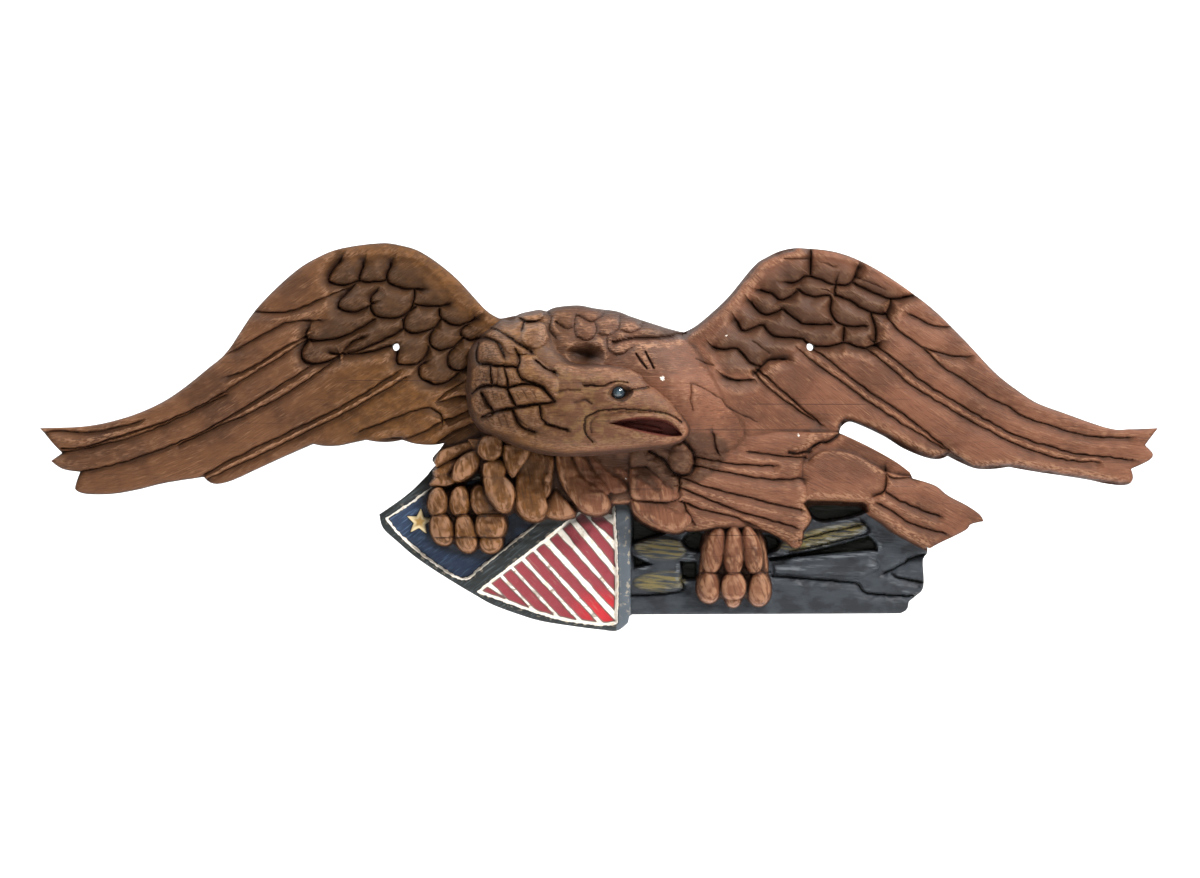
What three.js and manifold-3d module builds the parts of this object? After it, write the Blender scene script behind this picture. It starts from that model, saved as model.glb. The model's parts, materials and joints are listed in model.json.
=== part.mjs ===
// Carved wooden eagle wall plaque: spread wings, head turned to the viewer's right with an open beak, a
// stars-and-stripes shield under the left foot and a block of arrows under the right foot.
//
// The frame is in millimetres: X to the viewer's right, Z up, the carved front facing -Y. The flat back lies on
// the wall at Y = 0. The origin is on that back, midway between the wing tips and level with the fixing holes.
//
// The carving is drawn as a carver draws it, on a full-size pattern sheet: u runs right and v runs down from the
// sheet's top left corner, and a depth is measured out from the wall.
import * as THREE from 'three';
import Module from 'manifold-3d';

const wasm = await Module();
wasm.setup();

// Driving sizes, mm
const MOUNT_U = 600; // the origin's place on the sheet, from its left edge
const MOUNT_V = 347; // and from its top edge
const SHEET = { left: 34, top: 238, right: 1166, bottom: 638 };
const GRID = 1; // spacing of the grid on which the relief is worked out
const WALL = 7; // how steeply a form's edge falls, mm of depth for each mm across
const FIXING_HOLE = { diameter: 7.5, places: [[397, 347.5], [809, 347.5]], sides: 12 };
const EYE = { u: 617.5, v: 394, diameter: 14.5, depth: 117, gap: 0.3 };
const FACES = { body: 3080, head: 620 }; // carved points spent on the body and on the head

// Smooth and straight lines on the sheet

/** Points along a smooth line through the given ones. */
function curve(points, spacing = 3) {
  const spline = new THREE.SplineCurve(points.map(([u, v]) => new THREE.Vector2(u, v)));
  const count = Math.max(1, Math.round(spline.getLength() / spacing));
  return spline.getSpacedPoints(count).map(({ x, y }) => [x, y]);
}

/** A closed outline from stretches that meet at corners. */
function outline(...stretches) {
  const points = stretches.flatMap((stretch) => curve(stretch).slice(0, -1));
  const last = stretches.at(-1).at(-1);
  const first = points[0];
  if (Math.hypot(last[0] - first[0], last[1] - first[1]) > 0.5) points.push(last);
  return points;
}

/** A rounded feather or toe joint from its centre, length, width and turn (degrees, clockwise from +u). */
function petal([u, v, long, wide, turn = 0, taper = 0.12]) {
  const points = [];
  const angle = (turn * Math.PI) / 180;
  const sides = 20;
  for (let i = 0; i < sides; i += 1) {
    const t = (2 * Math.PI * i) / sides;
    const along = (long / 2) * Math.cos(t);
    const across = (wide / 2) * Math.sin(t) * (1 + taper * Math.cos(t));
    points.push([
      u + along * Math.cos(angle) - across * Math.sin(angle),
      v + along * Math.sin(angle) + across * Math.cos(angle),
    ]);
  }
  return points;
}

/** A feather's edge line from its start and end, bowed down by sag at its middle. */
function quill([u1, v1, u2, v2, sag = 0]) {
  const length = Math.hypot(u2 - u1, v2 - v1);
  const side = u2 > u1 ? 1 : -1;
  const middle = [
    (u1 + u2) / 2 - (side * sag * (v2 - v1)) / length,
    (v1 + v2) / 2 + (side * sag * (u2 - u1)) / length,
  ];
  return curve([[u1, v1], middle, [u2, v2]], 6);
}

function segmentDistance(u, v, a, b) {
  const du = b[0] - a[0];
  const dv = b[1] - a[1];
  const squared = du * du + dv * dv || 1;
  const t = Math.min(1, Math.max(0, ((u - a[0]) * du + (v - a[1]) * dv) / squared));
  return Math.hypot(u - a[0] - t * du, v - a[1] - t * dv);
}

/** Distance to a closed outline, positive inside it. */
function insideDistance(u, v, points) {
  let nearest = Infinity;
  let inside = false;
  for (let i = 0, j = points.length - 1; i < points.length; j = i, i += 1) {
    const a = points[j];
    const b = points[i];
    nearest = Math.min(nearest, segmentDistance(u, v, a, b));
    if (a[1] > v !== b[1] > v && u < ((b[0] - a[0]) * (v - a[1])) / (b[1] - a[1]) + a[0]) inside = !inside;
  }
  return inside ? nearest : -nearest;
}

/** A smooth surface through depths given at a few places: a bent thin plate. */
function plate(levels) {
  if (typeof levels === 'number') return () => levels;
  if (typeof levels === 'function') return levels;
  const count = levels.length;
  const bend = (r2) => (r2 > 0 ? r2 * Math.log(r2) : 0);
  const rows = levels.map(([u, v, depth]) => [
    ...levels.map(([p, q]) => bend((u - p) ** 2 + (v - q) ** 2)), 1, u, v, depth,
  ]);
  rows.push([...levels.map(() => 1), 0, 0, 0, 0]);
  rows.push([...levels.map(([u]) => u), 0, 0, 0, 0]);
  rows.push([...levels.map(([, v]) => v), 0, 0, 0, 0]);
  const size = count + 3;
  for (let k = 0; k < size; k += 1) {
    let pivot = k;
    for (let r = k + 1; r < size; r += 1) if (Math.abs(rows[r][k]) > Math.abs(rows[pivot][k])) pivot = r;
    [rows[k], rows[pivot]] = [rows[pivot], rows[k]];
    for (let r = 0; r < size; r += 1) {
      if (r === k) continue;
      const factor = rows[r][k] / rows[k][k];
      for (let c = k; c <= size; c += 1) rows[r][c] -= factor * rows[k][c];
    }
  }
  const weights = rows.map((row, i) => row[size] / row[i]);
  return (u, v) => {
    let depth = weights[count] + weights[count + 1] * u + weights[count + 2] * v;
    for (let i = 0; i < count; i += 1) {
      depth += weights[i] * bend((u - levels[i][0]) ** 2 + (v - levels[i][1]) ** 2);
    }
    return depth;
  };
}

/** How far a rounded form has risen, 0 at its edge to 1 at its reach, as a quarter circle. */
function pillow(distance, reach) {
  const t = Math.min(1, Math.max(0, distance / reach));
  return Math.sqrt(1 - (1 - t) ** 2);
}

// The relief: one depth for each point of the sheet

class Relief {
  constructor() {
    this.columns = Math.round((SHEET.right - SHEET.left) / GRID) + 1;
    this.rows = Math.round((SHEET.bottom - SHEET.top) / GRID) + 1;
    this.depth = new Float64Array(this.columns * this.rows).fill(0);
    this.mask = new Float64Array(this.columns * this.rows).fill(-1e3);
  }

  /** Calls visit(index, u, v) for each grid point of a box round the points, with a margin. */
  each(points, margin, visit) {
    const us = points.map(([u]) => u);
    const vs = points.map(([, v]) => v);
    const column0 = Math.max(0, Math.floor((Math.min(...us) - margin - SHEET.left) / GRID));
    const column1 = Math.min(this.columns - 1, Math.ceil((Math.max(...us) + margin - SHEET.left) / GRID));
    const row0 = Math.max(0, Math.floor((Math.min(...vs) - margin - SHEET.top) / GRID));
    const row1 = Math.min(this.rows - 1, Math.ceil((Math.max(...vs) + margin - SHEET.top) / GRID));
    for (let row = row0; row <= row1; row += 1) {
      for (let column = column0; column <= column1; column += 1) {
        visit(row * this.columns + column, SHEET.left + column * GRID, SHEET.top + row * GRID);
      }
    }
  }

  /** Builds the wood up to a form whose edge is rounded over by crown within reach. */
  raise(points, levels, { crown = 2, reach = 5, outer = false } = {}) {
    const surface = plate(levels);
    this.each(points, outer ? 8 : 12, (index, u, v) => {
      const distance = insideDistance(u, v, points);
      const rounded = surface(u, v) - crown * (1 - pillow(distance, reach));
      if (outer) {
        this.mask[index] = Math.max(this.mask[index], distance);
        // Beyond the outer edge the surface runs level, so that the edge keeps its height
        if (distance > -8) this.depth[index] = Math.max(this.depth[index], rounded + 3 * Math.min(0, distance));
      } else {
        this.depth[index] = Math.max(this.depth[index], rounded + WALL * Math.min(0, distance));
      }
    });
  }

  /** Raises a form that follows the wood under it, proud of it by a height. */
  swell(points, height, { crown = 3, reach = 6 } = {}) {
    this.each(points, 2, (index, u, v) => {
      const distance = insideDistance(u, v, points);
      if (distance <= 0) return;
      this.depth[index] += height - crown * (1 - pillow(distance, reach));
    });
  }

  /** Cuts the wood down inside an outline to a floor. */
  sink(points, levels, wall = WALL) {
    const floor = plate(levels);
    this.each(points, 2, (index, u, v) => {
      const distance = insideDistance(u, v, points);
      if (distance <= 0) return;
      const cut = Math.max(floor(u, v), this.depth[index] - wall * distance);
      this.depth[index] = Math.min(this.depth[index], cut);
    });
  }

  /** V grooves along lines, the wood beside them eased down over a reach so that it swells between them. */
  scribe(paths, { width = 4, depth = 3, soft = 0, reach = 12, lap = 0 } = {}) {
    const nearest = new Map();
    for (const path of paths) {
      this.each(path, Math.max(width, reach), (index, u, v) => {
        let best = nearest.get(index) ?? [Infinity, 0];
        for (let i = 1; i < path.length; i += 1) {
          const a = path[i - 1];
          const b = path[i];
          const distance = segmentDistance(u, v, a, b);
          if (distance < best[0]) {
            const side = (b[0] - a[0]) * (v - a[1]) - (b[1] - a[1]) * (u - a[0]);
            best = [distance, Math.sign(side) * Math.sign(b[0] - a[0] || 1)];
          }
        }
        if (best[0] < Math.max(width, reach)) nearest.set(index, best);
      });
    }
    for (const [index, [distance, side]] of nearest) {
      const groove = depth * Math.max(0, 1 - (2 * distance) / width);
      const eased = soft * Math.max(0, 1 - distance / reach) ** 2;
      const lapped = side > 0 ? lap * Math.max(0, 1 - distance / (reach + 4)) : 0;
      this.depth[index] -= Math.max(groove, 0) + eased + lapped;
    }
  }

  at(u, v, grid = this.depth) {
    const x = Math.min(this.columns - 1.001, Math.max(0, (u - SHEET.left) / GRID));
    const y = Math.min(this.rows - 1.001, Math.max(0, (v - SHEET.top) / GRID));
    const column = Math.floor(x);
    const row = Math.floor(y);
    const index = row * this.columns + column;
    const s = x - column;
    const t = y - row;
    const upper = grid[index] * (1 - s) + grid[index + 1] * s;
    const lower = grid[index + this.columns] * (1 - s) + grid[index + this.columns + 1] * s;
    return upper * (1 - t) + lower * t;
  }
}

// Outlines of the main masses

const LEFT_WING = outline(
  [[41, 428], [88, 426], [125, 418], [156, 406], [181, 391], [210, 368], [229, 351], [258, 309], [294, 274],
    [319, 258], [343, 249], [380, 244], [401, 246], [424, 254], [455, 277], [486, 310], [500, 319]],
  [[500, 319], [540, 330], [540, 470], [470, 470]],
  [[470, 470], [452, 478], [440, 484], [433, 477]],
  [[433, 477], [437, 466], [433, 459], [441, 449], [445, 443]],
  [[445, 443], [434, 445], [417, 444], [403, 440]],
  [[403, 440], [391, 442], [379, 442], [367, 440]],
  [[367, 440], [353, 443], [338, 446], [324, 446], [314, 444]],
  [[314, 444], [282, 458], [258, 469], [234, 480], [219, 484], [210, 482], [205, 477]],
  [[205, 477], [166, 483], [137, 490], [113, 494], [88, 494], [77, 490], [77, 484], [81, 472]],
  [[81, 472], [64, 469], [52, 461]],
  [[52, 461], [63, 453]],
  [[63, 453], [52, 441], [41, 428]],
);

const RIGHT_WING = outline(
  [[683, 333], [696, 326], [715, 310], [730, 295], [753, 267], [766, 258], [782, 251], [801, 249], [839, 254],
    [877, 271], [925, 304], [960, 337], [993, 372], [1017, 391], [1036, 403], [1060, 412], [1107, 428],
    [1130, 429], [1157, 428]],
  [[1157, 428], [1144, 445]],
  [[1144, 445], [1152, 454], [1147, 461], [1130, 469]],
  [[1130, 469], [1132, 478], [1126, 485], [1107, 484], [1083, 479], [1036, 472], [1008, 467]],
  [[1008, 467], [993, 469], [977, 469], [963, 464], [947, 456]],
  [[947, 456], [939, 459], [927, 458], [904, 449], [883, 436], [857, 424], [847, 422], [840, 427], [838, 433]],
  [[838, 433], [800, 470], [700, 470]],
  [[700, 470], [660, 400], [683, 333]],
);

const TAIL = outline(
  [[838, 433], [845, 436], [868, 447], [893, 461], [908, 472]],
  [[908, 472], [911, 478]],
  [[911, 478], [933, 485], [946, 495], [965, 505], [978, 514], [982, 521]],
  [[982, 521], [969, 524], [965, 529], [952, 536], [939, 542], [928, 548]],
  [[928, 548], [908, 537], [893, 528], [882, 519], [871, 511], [862, 501]],
  [[862, 501], [847, 500], [816, 499], [800, 502]],
  [[800, 502], [770, 480], [780, 440], [838, 433]],
);

const BELLY = outline(
  [[629, 455], [640, 440], [700, 430], [838, 433]],
  [[838, 433], [815, 444], [805, 453], [801, 475], [806, 490], [805, 505], [808, 519], [801, 530]],
  [[801, 530], [799, 544], [793, 546], [784, 539], [770, 531], [755, 528]],
  [[755, 528], [727, 527], [697, 528], [672, 528], [658, 522], [640, 512], [629, 500]],
  [[629, 500], [629, 455]],
);

const BACK = outline(
  [[496, 320], [512, 320], [519, 315], [530, 312], [543, 311]],
  [[543, 311], [547, 312]],
  [[547, 312], [556, 308], [578, 306], [595, 309], [617, 312], [633, 318], [667, 329], [684, 333]],
  [[684, 333], [735, 370], [740, 450], [640, 478], [490, 450], [480, 350], [496, 320]],
);

const SHIELD = outline(
  [[470, 455], [439, 464], [427, 476], [414, 489], [399, 501], [380, 514]],
  [[380, 514], [384, 528], [399, 542], [414, 555], [434, 569], [458, 584], [475, 594], [493, 604], [517, 613],
    [540, 620], [570, 625], [601, 629], [617, 630], [628, 622]],
  [[628, 622], [630, 612]],
  [[630, 612], [630, 490]],
  [[630, 490], [600, 455], [470, 455]],
);

const ARROW_BLOCK = outline(
  [[626, 478], [880, 478]],
  [[880, 478], [926, 548]],
  [[926, 548], [926, 554], [922, 560], [923, 583], [920, 592]],
  [[920, 592], [908, 601]],
  [[908, 601], [906, 609], [899, 613]],
  [[899, 613], [632, 614]],
  [[632, 614], [626, 618]],
  [[626, 618], [626, 478]],
);

const HEAD = outline(
  [[468, 372], [470, 350], [482, 336], [492, 325], [503, 319], [512, 320], [519, 315], [530, 312], [543, 311],
    [549, 322], [556, 340], [566, 356], [578, 364], [600, 364], [626, 367], [640, 373], [655, 385], [668, 397],
    [678, 410], [687, 424], [689, 432], [684, 438], [672, 443], [646, 447], [595, 450], [558, 449], [533, 445],
    [512, 441], [495, 436], [480, 428], [470, 412], [467, 392], [468, 372]],
);

// Depths of the wings' faces from the wall, at places on the sheet
const LEFT_WING_LEVELS = [
  [45, 430, 20], [85, 488, 20], [125, 450, 23], [205, 470, 23], [205, 385, 26], [300, 440, 30], [300, 345, 37],
  [262, 312, 30], [370, 250, 34], [370, 330, 47], [435, 268, 40], [430, 350, 50], [440, 450, 40], [490, 325, 46],
  [500, 400, 44],
];
const RIGHT_WING_LEVELS = [
  [1150, 435, 19], [1125, 480, 19], [1040, 440, 25], [940, 440, 29], [1000, 385, 26], [900, 292, 31],
  [860, 355, 44], [800, 255, 40], [800, 300, 49], [760, 335, 57], [810, 400, 47], [845, 425, 40], [720, 350, 74],
  [700, 400, 86], [760, 440, 58], [690, 345, 62], [700, 450, 74], [740, 285, 48],
];

/** The main masses, each rounded over at its edge, from the wall outwards. */
function carveMasses(relief) {
  relief.raise(ARROW_BLOCK, [[640, 500, 25], [640, 610, 24], [780, 555, 26], [900, 610, 22], [920, 560, 22],
    [900, 510, 27]], { crown: 2, reach: 4, outer: true });
  relief.raise(SHIELD, [[382, 514, 27], [440, 470, 31], [470, 590, 29], [540, 540, 36], [625, 500, 34],
    [625, 625, 29]], { crown: 2, reach: 4, outer: true });
  relief.raise(LEFT_WING, LEFT_WING_LEVELS, { crown: 5, reach: 8, outer: true });
  relief.raise(RIGHT_WING, RIGHT_WING_LEVELS, { crown: 5, reach: 8, outer: true });
  relief.raise(TAIL, [[790, 470, 50], [850, 445, 46], [850, 495, 50], [900, 500, 45], [950, 515, 38],
    [978, 520, 34], [928, 542, 38]], { crown: 4, reach: 8, outer: true });
  relief.raise(BELLY, [[635, 480, 62], [660, 515, 58], [700, 440, 76], [700, 490, 68], [700, 525, 58],
    [760, 445, 61], [760, 490, 62], [755, 525, 54], [798, 455, 54], [800, 520, 54], [793, 542, 48]],
  { crown: 7, reach: 11 });
  relief.raise(BACK, [[500, 325, 48], [560, 310, 50], [620, 316, 52], [680, 334, 54], [600, 345, 82],
    [560, 350, 74], [580, 362, 76], [640, 350, 86], [660, 375, 98], [690, 400, 95], [710, 440, 78],
    [735, 400, 72], [540, 420, 66], [600, 440, 62], [660, 460, 64], [490, 440, 46]],
  { crown: 9, reach: 12, outer: true });
}

// Feathers of the left wing, seen from the front: rounded coverts, then long quills running to the tip
const LEFT_COVERTS = [
  [345, 273, 34, 24, 130], [375, 272, 28, 22, 100], [405, 276, 34, 26, 70], [355, 298, 42, 20, 140],
  [394, 305, 44, 27, 170], [431, 299, 32, 21, 30], [340, 329, 66, 23, 162], [423, 322, 36, 25, 160],
  [454, 316, 30, 21, 30], [376, 338, 66, 22, 154], [322, 355, 40, 19, 172], [446, 339, 32, 24, 150],
  [474, 332, 26, 22, 120], [414, 351, 36, 26, 160], [462, 357, 30, 26, 110], [438, 371, 38, 26, 160],
];
const LEFT_QUILLS = [
  [307, 339, 60, 436, 17], [309, 368, 66, 449, 18], [331, 368, 84, 472, 10], [398, 373, 206, 473, 4],
  [408, 377, 210, 478, 6], [333, 286, 259, 312, 3], [302, 309, 230, 352, 2], [311, 336, 200, 404, 4],
  [440, 402, 362, 431, 3], [440, 417, 388, 438, 2], [466, 390, 440, 401, 0], [472, 409, 440, 424, 2],
  [465, 429, 445, 437, 0],
];

// Feathers of the right wing
const RIGHT_COVERTS = [
  [792, 270, 36, 15, 2], [832, 275, 44, 16, 10], [879, 283, 52, 14, 22], [816, 289, 34, 17, 15],
  [861, 298, 54, 20, 22], [806, 309, 50, 29, 20], [850, 313, 44, 24, 28], [781, 323, 42, 26, 28],
  [823, 336, 44, 19, 6], [860, 337, 30, 20, 10], [784, 292, 30, 20, 20], [765, 302, 30, 24, 35],
  [749, 319, 30, 24, 35], [730, 337, 32, 26, 40], [760, 342, 30, 24, 45], [786, 349, 34, 20, 20],
  [735, 365, 34, 26, 50],
];
const RIGHT_QUILLS = [
  [801, 352, 946, 454, -2], [814, 351, 964, 460, -3], [869, 352, 1090, 457, 22], [878, 347, 1134, 460, 29],
  [885, 315, 1126, 437, 29], [921, 347, 962, 356, 3], [908, 315, 946, 327, 4], [755, 375, 813, 420, 0],
  [759, 371, 817, 421, 1], [690, 385, 756, 422, 3], [690, 386, 691, 411, 0], [744, 441, 788, 452, 3],
  [724, 377, 747, 381, 1],
];

// The beds in which the coverts are carved, and how they stand in them
const LEFT_BED = curve([[325, 262], [365, 255], [420, 262], [462, 303], [490, 325], [482, 348], [472, 376],
  [440, 392], [412, 370], [390, 362], [350, 362], [306, 368], [300, 345], [318, 322], [328, 300], [325, 262]], 6);
const RIGHT_BED = curve([[768, 268], [800, 256], [856, 264], [908, 296], [888, 320], [880, 346], [860, 354],
  [812, 352], [782, 362], [750, 380], [718, 372], [710, 345], [732, 315], [768, 268]], 6);
const COVERT = { bed: 5, proud: 1.5, crown: 7, reach: 10 };

/** Both wings: rounded coverts standing in a lowered bed, and quills cut as V lines. */
function carveWings(relief) {
  const wings = [[LEFT_BED, LEFT_COVERTS, LEFT_WING_LEVELS], [RIGHT_BED, RIGHT_COVERTS, RIGHT_WING_LEVELS]];
  for (const [bed, coverts, levels] of wings) {
    const face = plate(levels);
    relief.sink(bed, (u, v) => face(u, v) - COVERT.bed, 1);
    for (const covert of coverts) {
      relief.raise(petal(covert), (u, v) => face(u, v) + COVERT.proud,
        { crown: COVERT.crown, reach: Math.min(COVERT.reach, covert[3] / 2) });
    }
  }
  relief.scribe([...LEFT_QUILLS, ...RIGHT_QUILLS].map(quill), { width: 5, depth: 3, soft: 2, reach: 12, lap: 2 });
  // The leading edge of the right wing is rounded well over, as is the lower edge along the slot
  relief.scribe([curve([[684, 333], [715, 310], [730, 295], [753, 267], [766, 258], [790, 250]])],
    { width: 1, depth: 0, soft: 16, reach: 11 });
  relief.scribe([curve([[840, 427], [847, 422], [883, 436], [927, 458], [947, 456], [977, 469], [1008, 467],
    [1083, 479], [1126, 485]])], { width: 1, depth: 0, soft: 8, reach: 6 });
}

// The tail and the belly feathers that sweep down to the right
const BELLY_LINES = [
  [[679, 499], [706, 514], [746, 523], [765, 531]],
  [[678, 480], [695, 490], [747, 510], [783, 521]],
  [[670, 469], [700, 483], [747, 495], [785, 511]],
  [[696, 467], [740, 479], [785, 490]],
  [[699, 456], [740, 469], [804, 476]],
  [[714, 451], [774, 460]],
  [[631, 495], [660, 502], [679, 499], [672, 487]],
  [[637, 463], [650, 475], [665, 488]],
  [[661, 503], [674, 517], [682, 526]],
  [[683, 501], [690, 521], [698, 526]],
  [[687, 440], [695, 455], [694, 467]],
];
const TAIL_LINES = [
  [[882, 491], [893, 499], [920, 510]],
  [[880, 502], [908, 522], [940, 532]],
  [[884, 472], [882, 490], [871, 499]],
];

function carveTailAndBelly(relief) {
  relief.swell(petal([680, 458, 30, 26, 80]), 7, { crown: 8, reach: 11 });
  relief.scribe(BELLY_LINES.map((line) => curve(line, 6)), { width: 5, depth: 3.5, soft: 3, reach: 11, lap: 2 });
  relief.scribe(TAIL_LINES.map((line) => curve(line, 6)), { width: 5, depth: 3, soft: 3, reach: 11, lap: 2 });
  relief.sink(outline([[840, 432], [870, 445], [912, 470], [912, 478], [886, 474], [850, 455], [822, 452],
    [806, 462], [806, 452], [840, 432]]), [[810, 455, 44], [860, 452, 40], [905, 474, 37]], 3);
}

// The hollow of the nape, its small feathers and the two nicks behind the brow
const NAPE_FEATHERS = [
  [[552, 312], [561, 318], [570, 330]], [[588, 309], [597, 316], [610, 320]], [[572, 327], [580, 341], [590, 334]],
  [[612, 332], [604, 344], [620, 350]], [[640, 322], [648, 330], [664, 332]],
];

function carveBack(relief) {
  relief.scribe(NAPE_FEATHERS.map((line) => curve(line, 6)), { width: 4, depth: 2, soft: 2, reach: 9 });
  relief.scribe([curve([[614, 344], [630, 341], [662, 339], [684, 334]])], { width: 5, depth: 4, soft: 5, reach: 9 });
  relief.scribe([[[638, 354], [644, 372]], [[646, 352], [653, 371]]], { width: 3.5, depth: 5 });
  relief.scribe([curve([[565, 349], [572, 358], [586, 361], [600, 359]])], { width: 4, depth: 4, soft: 9, reach: 14 });
  relief.scribe([curve([[695, 357], [711, 366]]), curve([[713, 347], [734, 349], [749, 362], [762, 368]])],
    { width: 4, depth: 3, soft: 2, reach: 8 });
}

// Breast and leg feathers: centre, length, width and turn, then how far each stands from the wall
const BREAST_FEATHERS = [
  [[607, 472, 42, 15, 52], 56], [[596, 477, 56, 16, 50], 60], [[583, 485, 70, 27, 50], 65],
  [[560, 502, 27, 24, 85], 60], [[548, 477, 44, 12, 90], 60], [[531, 486, 64, 29, 88], 66],
  [[518, 461, 34, 20, 82], 70], [[491, 448, 24, 23, 90], 70], [[501, 495, 32, 29, 80], 70],
  [[498, 474, 30, 28, 80], 74], [[469, 467, 36, 20, 148], 60], [[443, 477, 26, 14, 160], 50],
  [[460, 454, 50, 13, 152], 52], [[470, 443, 46, 12, 155], 50], [[646, 482, 40, 36, 20], 66],
  [[650, 514, 48, 22, 35], 60],
];

function carveBreast(relief) {
  relief.raise(outline([[470, 440], [700, 430], [720, 470], [640, 500], [560, 500], [500, 490], [470, 440]]),
    48, { crown: 6, reach: 10 });
  for (const [feather, depth] of BREAST_FEATHERS) {
    relief.raise(petal(feather), depth, { crown: 9, reach: Math.min(12, feather[3] / 2) });
  }
}

// The toes: rows of knuckles, from the leg down to the tip
const LEFT_TOES = [
  [[439, 503, 30, 18, 100], 58], [[460, 500, 30, 20, 90], 62], [[484, 500, 31, 25, 90], 66],
  [[443, 529, 32, 23, 70], 57], [[465, 526, 32, 19, 78], 60], [[489, 525, 30, 27, 90], 66],
  [[469, 542, 22, 17, 80], 54], [[491, 541, 24, 22, 100], 58],
];
const RIGHT_TOES = [
  [[710, 552, 48, 21, 100], 60], [[732, 551, 50, 21, 90], 66], [[754, 556, 48, 26, 64], 60],
  [[707, 582, 26, 21, 90], 58], [[732, 583, 30, 27, 90], 66], [[758, 582, 27, 23, 90], 60],
  [[709, 596, 18, 18, 60], 52], [[732, 597, 16, 20, 90], 56], [[755, 596, 18, 21, 120], 52],
];
const TOE = { crown: 10, reach: 10 };

function carveFeet(relief) {
  relief.raise(outline([[704, 520], [756, 520], [768, 556], [764, 596], [704, 596], [698, 556], [704, 520]]), 46,
    { crown: 10, reach: 10 });
  relief.raise(outline([[432, 490], [496, 488], [502, 520], [496, 544], [440, 536], [430, 512], [432, 490]]), 44,
    { crown: 10, reach: 10 });
  for (const [joint, depth] of [...LEFT_TOES, ...RIGHT_TOES]) {
    relief.raise(petal(joint), depth, { crown: TOE.crown, reach: Math.min(TOE.reach, joint[3] / 2) });
  }
}

// The shield: a raised frame round two sunk fields, and a five-pointed star
const CANTON = outline(
  [[434, 487], [390, 518]],
  [[390, 518], [400, 533], [428, 557], [458, 579], [470, 580]],
  [[470, 580], [502, 556], [549, 520]],
  [[549, 520], [500, 480], [434, 487]],
);
const STRIPE_FIELD = outline(
  [[479, 588], [517, 559], [549, 536], [580, 512]],
  [[580, 512], [612, 497]],
  [[612, 497], [616, 560], [617, 622]],
  [[617, 622], [601, 624], [559, 618], [520, 606], [479, 588]],
);
const STAR = { u: 420.5, v: 521, radius: 13, waist: 5.6, points: 5, turn: -90 };

function starOutline({ u, v, radius, waist, points, turn }) {
  const corners = [];
  for (let i = 0; i < 2 * points; i += 1) {
    const angle = ((turn + (180 * i) / points) * Math.PI) / 180;
    const reach = i % 2 === 0 ? radius : waist;
    corners.push([u + reach * Math.cos(angle), v + reach * Math.sin(angle)]);
  }
  return corners;
}

function carveShield(relief) {
  const floor = relief.at.bind(relief);
  for (const field of [CANTON, STRIPE_FIELD]) {
    const surface = [[390, 515, 24], [440, 475, 27], [470, 580, 25], [540, 540, 31], [615, 500, 30], [615, 620, 26]];
    relief.sink(field, surface, 3);
  }
  relief.raise(starOutline(STAR), floor(STAR.u, STAR.v) + 2.5, { crown: 1.5, reach: 4 });
}

// The arrows: dark recesses cut between two pairs of flights, the shafts and a long arrowhead
const ARROW_RECESSES = [
  { edge: outline([[631, 504], [668, 533]], [[668, 533], [631, 545]], [[631, 545], [631, 504]]), floor: 9 },
  { edge: outline([[632, 554], [654, 564]], [[654, 564], [633, 569]], [[633, 569], [632, 554]]), floor: 11 },
  { edge: petal([695, 541, 26, 21, 0]), floor: 9 },
  { edge: outline([[679, 560], [696, 560]], [[696, 560], [698, 580]], [[698, 580], [680, 580]],
    [[680, 580], [679, 560]]), floor: 10 },
  { edge: petal([764, 543, 30, 20, 0]), floor: 9 },
  { edge: outline([[800, 503], [812, 498], [862, 500], [868, 512]], [[868, 512], [840, 520], [815, 521], [800, 503]]),
    floor: 11 },
  { edge: outline([[767, 556], [868, 534]], [[868, 534], [876, 542], [877, 553]], [[877, 553], [769, 562]],
    [[769, 562], [767, 556]]), floor: 11 },
];
const ARROW_LINES = [
  [[772, 575], [810, 578], [853, 582], [862, 590], [874, 593], [911, 595], [921, 592]],
  [[884, 572], [902, 563], [908, 558], [925, 554]],
  [[891, 573], [897, 577], [922, 582]],
  [[790, 551], [847, 538], [868, 532], [861, 521]],
  [[631, 595], [679, 591], [681, 581]],
];

function carveArrows(relief) {
  for (const { edge, floor } of ARROW_RECESSES) relief.sink(edge, floor, 5);
  relief.raise(outline([[770, 563], [868, 556]], [[868, 556], [877, 561], [878, 569], [861, 577]],
    [[861, 577], [773, 574]], [[773, 574], [770, 563]]), 30, { crown: 7, reach: 10 });
  relief.scribe(ARROW_LINES.map((line) => curve(line, 6)), { width: 4, depth: 3, soft: 2, reach: 9, lap: 2 });
}

// The head and neck stand free of the breast below the jaw, so they are a form with a front and a back
const HEAD_FRONT = [
  [600, 373, 114], [626, 373, 112], [562, 378, 110], [617, 384, 124], [590, 400, 122], [632, 398, 125],
  [570, 415, 124], [592, 436, 120], [640, 412, 124], [650, 441, 118], [682, 431, 110], [664, 397, 112],
  [645, 381, 110], [674, 411, 112], [530, 388, 112], [502, 400, 98], [482, 395, 82], [474, 372, 72],
  [500, 352, 86], [530, 338, 82], [548, 330, 74], [505, 327, 62], [540, 315, 56], [512, 430, 92],
  [536, 438, 104], [484, 424, 78], [556, 350, 84], [612, 430, 122],
];
const HEAD_RIM = [
  [600, 450, 94], [558, 448, 90], [533, 445, 84], [500, 438, 72], [480, 428, 60], [468, 390, 44],
  [484, 334, 40], [505, 320, 36], [543, 311, 38], [556, 340, 50], [575, 362, 62], [600, 364, 68],
  [640, 373, 84], [668, 397, 92], [689, 430, 92], [672, 443, 96], [640, 448, 96],
];
const HEAD_BACK_DEPTH = 48;
const MOUTH = outline(
  [[606, 423], [622, 419], [640, 417], [655, 418], [667, 421], [676, 427], [682, 434]],
  [[682, 434], [673, 437], [657, 436], [640, 433], [626, 429], [606, 423]],
);
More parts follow.
